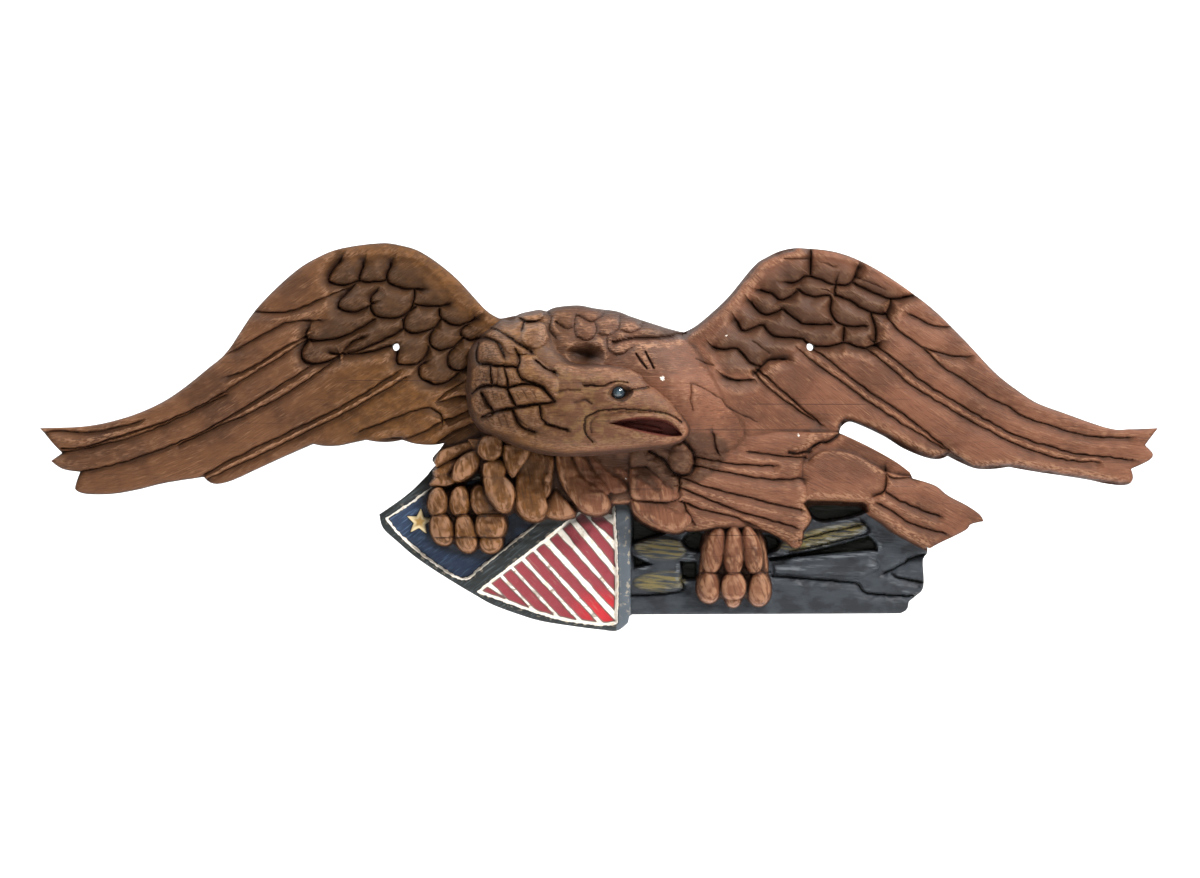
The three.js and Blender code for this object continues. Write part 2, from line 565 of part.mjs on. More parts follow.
const NECK_LINES = [
  [[470, 345], [481, 339], [496, 342], [504, 350], [507, 358]],
  [[486, 329], [500, 330], [514, 342], [533, 354]],
  [[479, 345], [481, 364], [520, 368]],
  [[518, 352], [521, 369], [529, 384], [541, 386]],
  [[470, 394], [482, 388], [507, 385], [541, 387], [556, 403]],
  [[485, 417], [499, 411], [521, 406], [549, 402]],
  [[484, 397], [497, 411]],
  [[508, 388], [521, 406]],
  [[515, 411], [527, 425], [540, 432]],
  [[540, 405], [546, 421], [568, 429]],
  [[514, 322], [528, 325], [539, 322]],
  [[522, 330], [521, 345]],
  [[544, 314], [551, 327], [547, 340]],
  [[537, 361], [555, 375]],
];
const FACE_LINES = [
  [[584, 386], [602, 388], [616, 384], [628, 386]],
  [[631, 390], [646, 388]],
  [[591, 441], [584, 431], [584, 420], [604, 411], [618, 408], [650, 409], [672, 413]],
  [[661, 390], [666, 398]],
];

/** The head's front, carved, and the plain back that it shows below the jaw and beak. */
function headSurfaces() {
  const relief = new Relief();
  const front = plate(HEAD_FRONT);
  const rim = plate(HEAD_RIM);
  relief.each(HEAD, 6, (index, u, v) => {
    const distance = insideDistance(u, v, HEAD);
    const edge = rim(u, v);
    relief.mask[index] = distance;
    relief.depth[index] = edge + Math.max(0, front(u, v) - edge) * pillow(distance, 15);
  });
  relief.scribe([curve([[566, 366], [600, 372], [628, 373], [641, 380]])],
    { width: 1, depth: 0, soft: -5, reach: 9 });
  relief.scribe(NECK_LINES.map((line) => curve(line, 5)), { width: 5, depth: 4, soft: 5, reach: 11 });
  relief.scribe(FACE_LINES.map((line) => curve(line, 5)), { width: 4, depth: 3, soft: 2, reach: 6 });
  relief.swell(outline([[604, 424], [618, 413], [650, 412], [672, 418], [686, 432], [660, 430], [640, 428],
    [604, 424]]), 2.5, { crown: 2.5, reach: 5 });
  relief.sink(MOUTH, 96, 7);
  relief.sink(petal([EYE.u + 0.5, EYE.v, 23, 21, 0, 0]), EYE.depth - 1, 1.6);
  return relief;
}

function headBack(u, v) {
  const distance = insideDistance(u, v, HEAD);
  const edge = plate(HEAD_RIM)(u, v);
  return edge - Math.max(0, edge - HEAD_BACK_DEPTH) * pillow(distance, 22);
}

// From the relief to faceted solids: points are placed where the carving needs them most

const orient = (a, b, c) => (b[0] - a[0]) * (c[1] - a[1]) - (b[1] - a[1]) * (c[0] - a[0]);

/** A triangulated sheet that grows point by point and keeps well-shaped triangles. */
class Mesh2D {
  constructor(height) {
    this.height = height;
    this.points = [[-200, -200], [1500, -200], [1500, 900], [-200, 900]].map(([u, v]) => [u, v, 0]);
    this.corners = [0, 1, 2, 0, 2, 3];
    this.beside = [-1, 1, -1, -1, -1, 0];
    this.fixed = new Set();
    this.samples = [[], []];
    this.last = 0;
  }

  edgeKey(a, b) {
    return a < b ? a * 1e6 + b : b * 1e6 + a;
  }

  /** The triangle that holds a point, found by walking towards it. */
  locate(point) {
    let t = this.last;
    for (let guard = 0; guard < 4000; guard += 1) {
      let moved = false;
      for (let k = 0; k < 3; k += 1) {
        const a = this.points[this.corners[3 * t + ((k + 1) % 3)]];
        const b = this.points[this.corners[3 * t + ((k + 2) % 3)]];
        if (orient(a, b, point) < -1e-9) {
          t = this.beside[3 * t + k];
          moved = true;
          break;
        }
      }
      if (!moved) break;
    }
    this.last = t;
    return t;
  }

  setTriangle(t, corners, beside) {
    for (let k = 0; k < 3; k += 1) {
      this.corners[3 * t + k] = corners[k];
      this.beside[3 * t + k] = beside[k];
    }
  }

  relink(t, from, to) {
    if (t < 0) return;
    for (let k = 0; k < 3; k += 1) if (this.beside[3 * t + k] === from) this.beside[3 * t + k] = to;
  }

  contains(t, point) {
    for (let k = 0; k < 3; k += 1) {
      const a = this.points[this.corners[3 * t + ((k + 1) % 3)]];
      const b = this.points[this.corners[3 * t + ((k + 2) % 3)]];
      if (orient(a, b, point) < -1e-9) return false;
    }
    return true;
  }

  /** Shares samples out among triangles that have just changed. */
  deal(samples, triangles) {
    for (const t of triangles) this.samples[t] = [];
    for (const sample of samples) {
      const t = triangles.find((candidate) => this.contains(candidate, sample)) ?? triangles[0];
      this.samples[t].push(sample);
    }
  }

  /** Adds a point and returns its number and the triangles that changed. */
  insert(point) {
    const t = this.locate(point);
    const [a, b, c] = [0, 1, 2].map((k) => this.corners[3 * t + k]);
    for (const corner of [a, b, c]) {
      const [u, v] = this.points[corner];
      if (Math.hypot(u - point[0], v - point[1]) < 0.3) return { index: corner, changed: [] };
    }
    for (let k = 0; k < 3; k += 1) {
      const from = this.corners[3 * t + ((k + 1) % 3)];
      const to = this.corners[3 * t + ((k + 2) % 3)];
      const p = this.points[from];
      const q = this.points[to];
      const gap = orient(p, q, point) / Math.hypot(q[0] - p[0], q[1] - p[1]);
      if (gap < 0.02) return this.insertOnEdge(t, k, point);
    }
    const index = this.points.length;
    this.points.push(point);
    const [sideA, sideB, sideC] = [0, 1, 2].map((k) => this.beside[3 * t + k]);
    const t1 = this.corners.length / 3;
    const t2 = t1 + 1;
    this.setTriangle(t, [index, b, c], [sideA, t1, t2]);
    this.setTriangle(t1, [a, index, c], [t, sideB, t2]);
    this.setTriangle(t2, [a, b, index], [t, t1, sideC]);
    this.relink(sideB, t, t1);
    this.relink(sideC, t, t2);
    this.deal(this.samples[t], [t, t1, t2]);
    const changed = new Set([t, t1, t2]);
    this.legalise([[t, index], [t1, index], [t2, index]], changed);
    return { index, changed: [...changed] };
  }

  insertOnEdge(t, k, point) {
    const other = this.beside[3 * t + k];
    const apex = this.corners[3 * t + k];
    const from = this.corners[3 * t + ((k + 1) % 3)];
    const to = this.corners[3 * t + ((k + 2) % 3)];
    const j = [0, 1, 2].find((i) => this.beside[3 * other + i] === t);
    const far = this.corners[3 * other + j];
    const index = this.points.length;
    this.points.push(point);
    const sideFrom = this.beside[3 * t + ((k + 2) % 3)];
    const sideTo = this.beside[3 * t + ((k + 1) % 3)];
    const farTo = this.beside[3 * other + ((j + 2) % 3)];
    const farFrom = this.beside[3 * other + ((j + 1) % 3)];
    const t1 = this.corners.length / 3;
    const t2 = t1 + 1;
    this.setTriangle(t, [apex, from, index], [t2, t1, sideFrom]);
    this.setTriangle(t1, [apex, index, to], [other, sideTo, t]);
    this.setTriangle(other, [far, to, index], [t1, t2, farTo]);
    this.setTriangle(t2, [far, index, from], [t, farFrom, other]);
    this.relink(sideTo, t, t1);
    this.relink(farFrom, other, t2);
    if (this.fixed.delete(this.edgeKey(from, to))) {
      this.fixed.add(this.edgeKey(from, index));
      this.fixed.add(this.edgeKey(index, to));
    }
    this.samples[t1] = [];
    this.samples[t2] = [];
    this.deal([...this.samples[t], ...this.samples[other]], [t, t1, other, t2]);
    const changed = new Set([t, t1, other, t2]);
    this.legalise([[t, index], [t1, index], [other, index], [t2, index]], changed);
    return { index, changed: [...changed] };
  }

  inCircle(a, b, c, d) {
    const [ax, ay] = [a[0] - d[0], a[1] - d[1]];
    const [bx, by] = [b[0] - d[0], b[1] - d[1]];
    const [cx, cy] = [c[0] - d[0], c[1] - d[1]];
    return (ax * ax + ay * ay) * (bx * cy - cx * by)
      - (bx * bx + by * by) * (ax * cy - cx * ay)
      + (cx * cx + cy * cy) * (ax * by - bx * ay) > 1e-7;
  }

  legalise(stack, changed) {
    while (stack.length > 0) {
      const [t, apex] = stack.pop();
      const k = [0, 1, 2].find((i) => this.corners[3 * t + i] === apex);
      if (k === undefined) continue;
      const other = this.beside[3 * t + k];
      if (other < 0) continue;
      const from = this.corners[3 * t + ((k + 1) % 3)];
      const to = this.corners[3 * t + ((k + 2) % 3)];
      if (this.fixed.has(this.edgeKey(from, to))) continue;
      const j = [0, 1, 2].find((i) => this.beside[3 * other + i] === t);
      const far = this.corners[3 * other + j];
      const [p, q, r, s] = [apex, from, to, far].map((i) => this.points[i]);
      if (!this.inCircle(p, q, r, s)) continue;
      this.flip(t, k);
      changed.add(other);
      changed.add(t);
      stack.push([t, apex], [other, apex]);
    }
  }

  /** Swaps the edge opposite corner k of a triangle for the other diagonal. */
  flip(t, k) {
    const other = this.beside[3 * t + k];
    const apex = this.corners[3 * t + k];
    const from = this.corners[3 * t + ((k + 1) % 3)];
    const to = this.corners[3 * t + ((k + 2) % 3)];
    const j = [0, 1, 2].find((i) => this.beside[3 * other + i] === t);
    const far = this.corners[3 * other + j];
    const sideFrom = this.beside[3 * t + ((k + 2) % 3)];
    const sideTo = this.beside[3 * t + ((k + 1) % 3)];
    const farTo = this.beside[3 * other + ((j + 2) % 3)];
    const farFrom = this.beside[3 * other + ((j + 1) % 3)];
    this.setTriangle(t, [apex, from, far], [farFrom, other, sideFrom]);
    this.setTriangle(other, [apex, far, to], [farTo, sideTo, t]);
    this.relink(farFrom, other, t);
    this.relink(sideTo, t, other);
    this.deal([...this.samples[t], ...this.samples[other]], [t, other]);
  }

  hasEdge(a, b) {
    for (let t = 0; t < this.corners.length / 3; t += 1) {
      const has = [0, 1, 2].map((k) => this.corners[3 * t + k]);
      if (has.includes(a) && has.includes(b)) return true;
    }
    return false;
  }

  /** Fixes the stretch between two points as an edge, adding points between them where it is missing. */
  fix(a, b) {
    if (this.hasEdge(a, b)) {
      this.fixed.add(this.edgeKey(a, b));
      return [a];
    }
    const [p, q] = [this.points[a], this.points[b]];
    const middle = this.insert([(p[0] + q[0]) / 2, (p[1] + q[1]) / 2, 0]).index;
    return [...this.fix(a, middle), ...this.fix(middle, b)];
  }

  planeAt(t, sample) {
    const [a, b, c] = [0, 1, 2].map((k) => this.points[this.corners[3 * t + k]]);
    const area = orient(a, b, c);
    if (area < 1e-6) return c[2];
    const wa = orient(b, c, sample) / area;
    const wb = orient(c, a, sample) / area;
    return wa * a[2] + wb * b[2] + (1 - wa - wb) * c[2];
  }

  worst(t) {
    let error = 0;
    let worst = null;
    for (const sample of this.samples[t]) {
      const miss = Math.abs(this.planeAt(t, sample) - sample[2]);
      if (miss > error) {
        error = miss;
        worst = sample;
      }
    }
    return { error, sample: worst };
  }

  missIn(samples, a, b, c) {
    const area = orient(a, b, c);
    let total = 0;
    for (const sample of samples) {
      const wa = orient(b, c, sample) / area;
      const wb = orient(c, a, sample) / area;
      if (wa < -1e-9 || wb < -1e-9 || wa + wb > 1 + 1e-9) continue;
      total += (wa * a[2] + wb * b[2] + (1 - wa - wb) * c[2] - sample[2]) ** 2;
    }
    return total;
  }

  /** Turns edges to lie along grooves and steps, where that follows the carving better. */
  alignEdges() {
    for (let t = 0; t < this.corners.length / 3; t += 1) {
      for (let k = 0; k < 3; k += 1) {
        const other = this.beside[3 * t + k];
        if (other < t) continue;
        const apex = this.corners[3 * t + k];
        const from = this.corners[3 * t + ((k + 1) % 3)];
        const to = this.corners[3 * t + ((k + 2) % 3)];
        if (this.fixed.has(this.edgeKey(from, to))) continue;
        const j = [0, 1, 2].find((i) => this.beside[3 * other + i] === t);
        const far = this.corners[3 * other + j];
        const [p, q, r, s] = [apex, from, to, far].map((i) => this.points[i]);
        const least = 0.06 * (Math.hypot(p[0] - s[0], p[1] - s[1]) + 2) ** 2;
        if (orient(p, q, s) < least || orient(p, s, r) < least) continue;
        const samples = [...this.samples[t], ...this.samples[other]];
        const before = this.missIn(samples, p, q, r) + this.missIn(samples, s, r, q);
        const after = this.missIn(samples, p, q, s) + this.missIn(samples, p, s, r);
        if (after < 0.9 * before) this.flip(t, k);
      }
    }
  }
}

/** Triangulates a relief inside closed loops, spending a number of points where the surface bends most. */
function facet(relief, loops, budget) {
  const sheet = new Mesh2D();
  const edgeDepth = (u, v) => {
    let best = relief.at(u, v);
    for (let i = 0; i < 8; i += 1) {
      const angle = (i * Math.PI) / 4;
      const [p, q] = [u + 1.2 * Math.cos(angle), v + 1.2 * Math.sin(angle)];
      if (relief.at(p, q, relief.mask) > 0.7) best = Math.max(best, relief.at(p, q));
    }
    return best;
  };
  const rings = loops.map((loop) => {
    const numbers = loop.map(([u, v]) => sheet.insert([u, v, 0]).index);
    return numbers.flatMap((a, i) => sheet.fix(a, numbers[(i + 1) % numbers.length]));
  });
  for (const ring of rings) {
    for (const i of ring) {
      const [u, v] = sheet.points[i];
      sheet.points[i][2] = edgeDepth(u, v);
    }
  }
  const polygons = rings.map((ring) => ring.map((i) => sheet.points[i]));
  const contained = (u, v) => polygons.filter((polygon) => insideDistance(u, v, polygon) > 0).length % 2 === 1;
  const step = 2;
  const samples = [];
  for (let v = SHEET.top; v <= SHEET.bottom; v += step) {
    for (let u = SHEET.left; u <= SHEET.right; u += step) {
      if (relief.at(u, v, relief.mask) > 1 && contained(u, v)) samples.push([u, v, relief.at(u, v)]);
    }
  }
  for (const sample of samples) sheet.samples[sheet.locate(sample)].push(sample);
  const queue = [];
  const enqueue = (t) => {
    const { error, sample } = sheet.worst(t);
    queue[t] = { error, sample };
  };
  for (let t = 0; t < sheet.corners.length / 3; t += 1) enqueue(t);
  const target = sheet.points.length + budget;
  while (sheet.points.length < target) {
    const ranked = queue.map((entry, t) => ({ ...entry, t })).filter(({ sample }) => sample !== null);
    ranked.sort((p, q) => q.error - p.error);
    const batch = ranked.slice(0, Math.max(8, Math.floor(ranked.length / 25)));
    const touched = new Set();
    for (const { t, sample } of batch) {
      if (touched.has(t) || sheet.points.length >= target) continue;
      sheet.last = t;
      for (const changed of sheet.insert([...sample]).changed) touched.add(changed);
    }
    for (const t of touched) enqueue(t);
  }
  for (let pass = 0; pass < 4; pass += 1) sheet.alignEdges();
  const triangles = [];
  for (let t = 0; t < sheet.corners.length / 3; t += 1) {
    const corners = [0, 1, 2].map((k) => sheet.corners[3 * t + k]);
    const [a, b, c] = corners.map((i) => sheet.points[i]);
    if (corners.some((i) => i < 4)) continue;
    if (contained((a[0] + b[0] + c[0]) / 3, (a[1] + b[1] + c[1]) / 3)) triangles.push(corners);
  }
  return { points: sheet.points, triangles, rings };
}

/** A place on the sheet at a depth from the wall, in the part's frame. */
const place = (u, v, depth) => [u - MOUNT_U, -depth, MOUNT_V - v];

/** A solid from its corner places and triangles. */
function solid(places, triangles) {
  return new wasm.Manifold(new wasm.Mesh({
    numProp: 3,
    vertProperties: new Float32Array(places.flat()),
    triVerts: new Uint32Array(triangles.flat()),
  }));
}

/** Triangles drawn on the sheet, whose v runs down, turned to face out in the part's frame. */
const turned = (triangles) => triangles.map(([a, b, c]) => [a, c, b]);

/** A solid from a closed three.js geometry. */
function solidOf(geometry) {
  const position = geometry.getAttribute('position');
  const numbers = new Map();
  const places = [];
  const slots = [];
  for (let i = 0; i < position.count; i += 1) {
    const spot = [position.getX(i), position.getY(i), position.getZ(i)];
    const key = spot.map((value) => Math.round(value * 1e4)).join(' ');
    if (!numbers.has(key)) {
      numbers.set(key, places.length);
      places.push(spot);
    }
    slots.push(numbers.get(key));
  }
  const corners = geometry.index ? [...geometry.index.array].map((i) => slots[i]) : slots;
  const triangles = [];
  for (let i = 0; i < corners.length; i += 3) {
    const [a, b, c] = corners.slice(i, i + 3);
    if (a !== b && b !== c && c !== a) triangles.push([a, b, c]);
  }
  return solid(places, triangles);
}

/** The closed loops of the whole outline: the union of the masses' outlines, and the fixing holes. */
function silhouette() {
  const masses = [LEFT_WING, RIGHT_WING, TAIL, BELLY, BACK, SHIELD, ARROW_BLOCK];
  const prisms = masses.map((points) => {
    const shape = new THREE.Shape(points.map(([u, v]) => new THREE.Vector2(u, -v)));
    return solidOf(new THREE.ExtrudeGeometry(shape, { depth: 1, bevelEnabled: false }));
  });
  const mesh = prisms.reduce((whole, prism) => whole.add(prism)).getMesh();
  const next = new Map();
  const isLow = (i) => mesh.vertProperties[i * mesh.numProp + 2] < 0.5;
  const directed = new Set();
  for (let i = 0; i < mesh.triVerts.length; i += 3) {
    const corners = [...mesh.triVerts.slice(i, i + 3)];
    if (!corners.every(isLow)) continue;
    for (let k = 0; k < 3; k += 1) directed.add(`${corners[k]} ${corners[(k + 1) % 3]}`);
  }
  for (const edge of directed) {
    const [a, b] = edge.split(' ');
    if (!directed.has(`${b} ${a}`)) next.set(Number(a), Number(b));
  }
  const loops = [];
  while (next.size > 0) {
    const start = next.keys().next().value;
    const loop = [];
    for (let i = start; next.has(i);) {
      const following = next.get(i);
      next.delete(i);
      loop.push([mesh.vertProperties[i * mesh.numProp], -mesh.vertProperties[i * mesh.numProp + 1]]);
      i = following;
    }
    loops.push(thin(loop));
  }
  return loops.filter((loop) => loop.length > 6);
}

/** Drops outline points that stray less than a tolerance from the line without them. */
function thin(loop, tolerance = 0.45) {
  const keep = (from, to) => {
    let far = -1;
    let most = tolerance;
    for (let i = from + 1; i < to; i += 1) {
      const gap = segmentDistance(loop[i][0], loop[i][1], loop[from], loop[to % loop.length]);
      if (gap > most) {
        most = gap;
        far = i;
      }
    }
    const long = Math.hypot(loop[from][0] - loop[to % loop.length][0], loop[from][1] - loop[to % loop.length][1]);
    if (far < 0 && long > 30 && to - from > 1) far = Math.floor((from + to) / 2);
    return far < 0 ? [loop[from]] : [...keep(from, far), ...keep(far, to)];
  };
  const half = Math.floor(loop.length / 2);
  return [...keep(0, half), ...keep(half, loop.length)];
}

function holeLoop([u, v]) {
  const loop = [];
  for (let i = 0; i < FIXING_HOLE.sides; i += 1) {
    const angle = (2 * Math.PI * i) / FIXING_HOLE.sides;
    loop.push([u + (FIXING_HOLE.diameter / 2) * Math.cos(angle), v + (FIXING_HOLE.diameter / 2) * Math.sin(angle)]);
  }
  return loop;
}

/** The slab: its carved front, its sides down to the wall and its flat back. */
function carveSlab() {
  const relief = new Relief();
  carveMasses(relief);
  carveBack(relief);
  carveWings(relief);
  carveTailAndBelly(relief);
  carveShield(relief);
  carveArrows(relief);
  carveBreast(relief);
  carveFeet(relief);
  const loops = [...silhouette(), ...FIXING_HOLE.places.map(holeLoop)];
  const { points, triangles, rings } = facet(relief, loops, FACES.body);
  const places = points.map(([u, v, depth]) => place(u, v, depth));
  const faces = triangles.map(([a, b, c]) => [a, b, c]);
  const footOf = new Map();
  for (const ring of rings) {
    for (const i of ring) {
      footOf.set(i, places.length);
      places.push(place(points[i][0], points[i][1], 0));
    }
  }
  const outer = rings.reduce((p, q) => (p.length > q.length ? p : q));
  const flat = (ring) => ring.map((i) => new THREE.Vector2(points[i][0], points[i][1]));
  const holes = rings.filter((ring) => ring !== outer);
  const order = [outer, ...holes].flat();
  const cap = THREE.ShapeUtils.triangulateShape(flat(outer), holes.map(flat));
  const clockwise = (a, b, c) => orient(points[order[a]], points[order[b]], points[order[c]]) > 0;
  for (const [a, b, c] of cap) {
    const corners = [a, b, c].map((i) => footOf.get(order[i]));
    faces.push(clockwise(a, b, c) ? [corners[0], corners[2], corners[1]] : corners);
  }
  const directed = new Set(triangles.flatMap(([a, b, c]) => [`${a} ${b}`, `${b} ${c}`, `${c} ${a}`]));
  for (const ring of rings) {
    ring.forEach((i, n) => {
      const j = ring[(n + 1) % ring.length];
      const [a, b] = directed.has(`${i} ${j}`) ? [i, j] : [j, i];
      faces.push([b, a, footOf.get(a)], [b, footOf.get(a), footOf.get(b)]);
    });
  }
  return solid(places, turned(faces));
}

function carveHead() {
  const relief = headSurfaces();
  const { points, triangles, rings } = facet(relief, [thin(HEAD, 0.6)], FACES.head);
  const onRim = new Set(rings.flat());
  const rim = plate(HEAD_RIM);
  const places = points.map(([u, v, depth], i) => place(u, v, onRim.has(i) ? rim(u, v) : depth));
  const backOf = points.map(([u, v], i) => {
    if (onRim.has(i)) return i;
    places.push(place(u, v, Math.min(headBack(u, v), points[i][2] - 4)));
    return places.length - 1;
  });
  const faces = triangles.flatMap(([a, b, c]) => [[a, b, c], [backOf[a], backOf[c], backOf[b]]]);
  return solid(places, turned(faces));
}

function ball(diameter, segments = 18, rings = 12) {
  return new THREE.SphereGeometry(diameter / 2, segments, rings);
}

/** A named piece from a solid or a geometry. */
function piece(name, geometry, colour, roughness) {
  const material = new THREE.MeshStandardMaterial({ color: colour, roughness, metalness: 0 });
  const mesh = new THREE.Mesh(geometry, material);
  mesh.name = name;
  return mesh;
}

function geometryOf(shape) {
  const mesh = shape.getMesh();
  const positions = new Float32Array(mesh.triVerts.length * 3);
  mesh.triVerts.forEach((corner, i) => {
    for (let axis = 0; axis < 3; axis += 1) positions[3 * i + axis] = mesh.vertProperties[corner * mesh.numProp + axis];
  });
  const geometry = new THREE.BufferGeometry();
  geometry.setAttribute('position', new THREE.BufferAttribute(positions, 3));
  return geometry;
}

const eyeSpot = place(EYE.u, EYE.v, EYE.depth);
const socket = solidOf(ball(EYE.diameter + 2 * EYE.gap).translate(...eyeSpot));
const carving = carveSlab().add(carveHead()).subtract(socket);

const eagle = new THREE.Group();
eagle.add(piece('eagle_carving', geometryOf(carving), 0x86594a, 0.75));
const eye = piece('eye', ball(EYE.diameter, 16, 10), 0x5a6c74, 0.1);
eye.position.set(...eyeSpot);
eagle.add(eye);

export default eagle;
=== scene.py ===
"""A carved wooden eagle wall plaque: one slab of laminated wood with spread wings, a head turned aside with an
open beak, a striped shield under the left foot, a block of arrows under the right foot, and a glass eye."""
import json
import logging
import math
from dataclasses import dataclass, field
from enum import Enum

import bpy
import numpy as np
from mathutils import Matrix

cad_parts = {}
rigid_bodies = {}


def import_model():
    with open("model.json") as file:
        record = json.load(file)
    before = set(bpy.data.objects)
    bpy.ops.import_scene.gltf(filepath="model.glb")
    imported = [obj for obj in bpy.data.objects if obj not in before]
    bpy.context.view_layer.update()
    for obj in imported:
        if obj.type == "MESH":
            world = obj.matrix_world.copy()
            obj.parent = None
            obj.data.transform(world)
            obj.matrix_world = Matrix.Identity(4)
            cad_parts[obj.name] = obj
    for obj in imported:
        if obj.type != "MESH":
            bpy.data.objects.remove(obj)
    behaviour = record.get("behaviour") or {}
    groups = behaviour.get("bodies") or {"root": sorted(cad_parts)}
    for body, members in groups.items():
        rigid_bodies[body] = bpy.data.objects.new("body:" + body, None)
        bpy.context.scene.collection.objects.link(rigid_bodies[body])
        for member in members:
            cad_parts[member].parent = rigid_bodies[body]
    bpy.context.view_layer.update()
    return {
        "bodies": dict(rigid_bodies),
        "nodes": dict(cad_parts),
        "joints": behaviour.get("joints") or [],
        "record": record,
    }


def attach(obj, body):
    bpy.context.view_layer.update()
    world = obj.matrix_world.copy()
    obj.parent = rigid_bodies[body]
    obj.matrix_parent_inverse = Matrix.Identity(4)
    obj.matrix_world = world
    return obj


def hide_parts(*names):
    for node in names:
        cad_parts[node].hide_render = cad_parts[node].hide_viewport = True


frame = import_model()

LOG = logging.getLogger("eagle")
MM = 0.001
Point = tuple[float, float]
Level = tuple[float, float, float]
Stroke = tuple[Point, ...]


# The pattern sheet and its lines

@dataclass(frozen=True)
class PatternSheet:
    """The carver's full-size pattern, in mm: u runs right, v runs down, and a depth is measured out from the wall."""

    mount_u: float = 600.0
    mount_v: float = 347.0
    left: float = 34.0
    top: float = 238.0
    right: float = 1166.0
    bottom: float = 638.0
    grid: float = 0.85

    def place(self, u: np.ndarray, v: np.ndarray, depth: np.ndarray) -> np.ndarray:
        """Turns sheet places into the part's frame.

        Args:
            u: how far right each place is, mm.
            v: how far down it is, mm.
            depth: how far out from the wall it is, mm.

        Returns:
            One row of X, Y and Z in metres for each place.
        """
        return np.stack([u - self.mount_u, -depth, self.mount_v - v], axis=-1) * MM


SHEET = PatternSheet()


def curve(points: Stroke, spacing: float = 3.0) -> np.ndarray:
    """Draws a smooth line through points.

    Args:
        points: the places that the line goes through.
        spacing: how far apart the line's own points are, mm.

    Returns:
        The line's points, evenly spaced, one row each.
    """
    knots = np.asarray(points, dtype=float)
    start, end = knots[:-1], knots[1:]
    leaving = (end - np.vstack([knots[:1], knots[:-2]])) / 2
    arriving = (np.vstack([knots[2:], knots[-1:]]) - start) / 2
    t = np.linspace(0, 1, 16, endpoint=False)[:, None, None]
    bend = (2 * start - 2 * end + leaving + arriving) * t**3
    lean = (3 * end - 3 * start - 2 * leaving - arriving) * t**2
    fine = (bend + lean + leaving * t + start).transpose(1, 0, 2).reshape(-1, 2)
    fine = np.vstack([fine, knots[-1:]])
    run = np.concatenate([[0], np.cumsum(np.hypot(*np.diff(fine, axis=0).T))])
    count = max(1, round(run[-1] / spacing))
    stops = np.linspace(0, run[-1], count + 1)
    return np.column_stack([np.interp(stops, run, fine[:, 0]), np.interp(stops, run, fine[:, 1])])


def outline(*stretches: Stroke, spacing: float = 3.0) -> np.ndarray:
    """Joins smooth stretches that meet at corners into one closed outline.

    Args:
        stretches: the stretches, each starting where the last one ended.
        spacing: how far apart the outline's points are, mm.

    Returns:
        The outline's points, with the first one not repeated at the end.
    """
    points = np.vstack([curve(stretch, spacing)[:-1] for stretch in stretches])
    last = np.asarray(stretches[-1][-1], dtype=float)
    return points if np.hypot(*(last - points[0])) < 0.5 else np.vstack([points, last])


def petal(u: float, v: float, long: float, wide: float, turn: float = 0.0, taper: float = 0.12) -> np.ndarray:
    """Draws a rounded form, such as a toe joint or a flight.

    Args:
        u: its centre, mm to the right.
        v: its centre, mm down.
        long: its length, mm.
        wide: its width, mm.
        turn: the turn of its length from the sheet's right, degrees clockwise.
        taper: how much wider its far end is.

    Returns:
        The closed outline's points.
    """
    t = np.linspace(0, 2 * math.pi, 28, endpoint=False)
    along = long / 2 * np.cos(t)
    across = wide / 2 * np.sin(t) * (1 + taper * np.cos(t))
    angle = math.radians(turn)
    return np.column_stack([
        u + along * math.cos(angle) - across * math.sin(angle),
        v + along * math.sin(angle) + across * math.cos(angle),
    ])


def inside_distance(u: np.ndarray, v: np.ndarray, points: np.ndarray) -> np.ndarray:
    """Measures how far places lie inside a closed outline.

    Args:
        u: the places, mm to the right.
        v: the places, mm down.
        points: the outline.

    Returns:
        The distance to the outline in mm, positive inside it and negative outside.
    """
    nearest = np.full(u.shape, np.inf)
    inside = np.zeros(u.shape, dtype=bool)
    for (au, av), (bu, bv) in zip(points, np.roll(points, -1, axis=0)):
        du, dv = bu - au, bv - av
        t = np.clip(((u - au) * du + (v - av) * dv) / (du * du + dv * dv or 1.0), 0, 1)
        np.minimum(nearest, (u - au - t * du) ** 2 + (v - av - t * dv) ** 2, out=nearest)
        if av != bv:
            inside ^= ((av > v) != (bv > v)) & (u < du * (v - av) / dv + au)
    return np.where(inside, 1.0, -1.0) * np.sqrt(nearest)


class Plate:
    """A smooth surface through depths given at a few places, as a thin plate bends."""

    def __init__(self, levels: tuple[Level, ...]) -> None:
        """Solves the plate for its levels."""
        self.places = np.array([level[:2] for level in levels], dtype=float)
        count = len(levels)
        gaps = ((self.places[:, None] - self.places[None]) ** 2).sum(axis=2)
        flat = np.column_stack([np.ones(count), self.places])
        system = np.zeros((count + 3, count + 3))
        system[:count, :count] = self.bend(gaps)
        system[:count, count:] = flat
        system[count:, :count] = flat.T
        self.weights = np.linalg.solve(system, [level[2] for level in levels] + [0, 0, 0])

    @staticmethod
    def bend(squared: np.ndarray) -> np.ndarray:
        """Returns the plate's bending term for squared distances."""
        return squared * np.log(np.maximum(squared, 1e-12))

    def __call__(self, u: np.ndarray, v: np.ndarray) -> np.ndarray:
        """Returns the plate's depth at places on the sheet."""
        depth = self.weights[-3] + self.weights[-2] * u + self.weights[-1] * v
        for weight, (pu, pv) in zip(self.weights, self.places):
            depth = depth + weight * self.bend((u - pu) ** 2 + (v - pv) ** 2)
        return depth


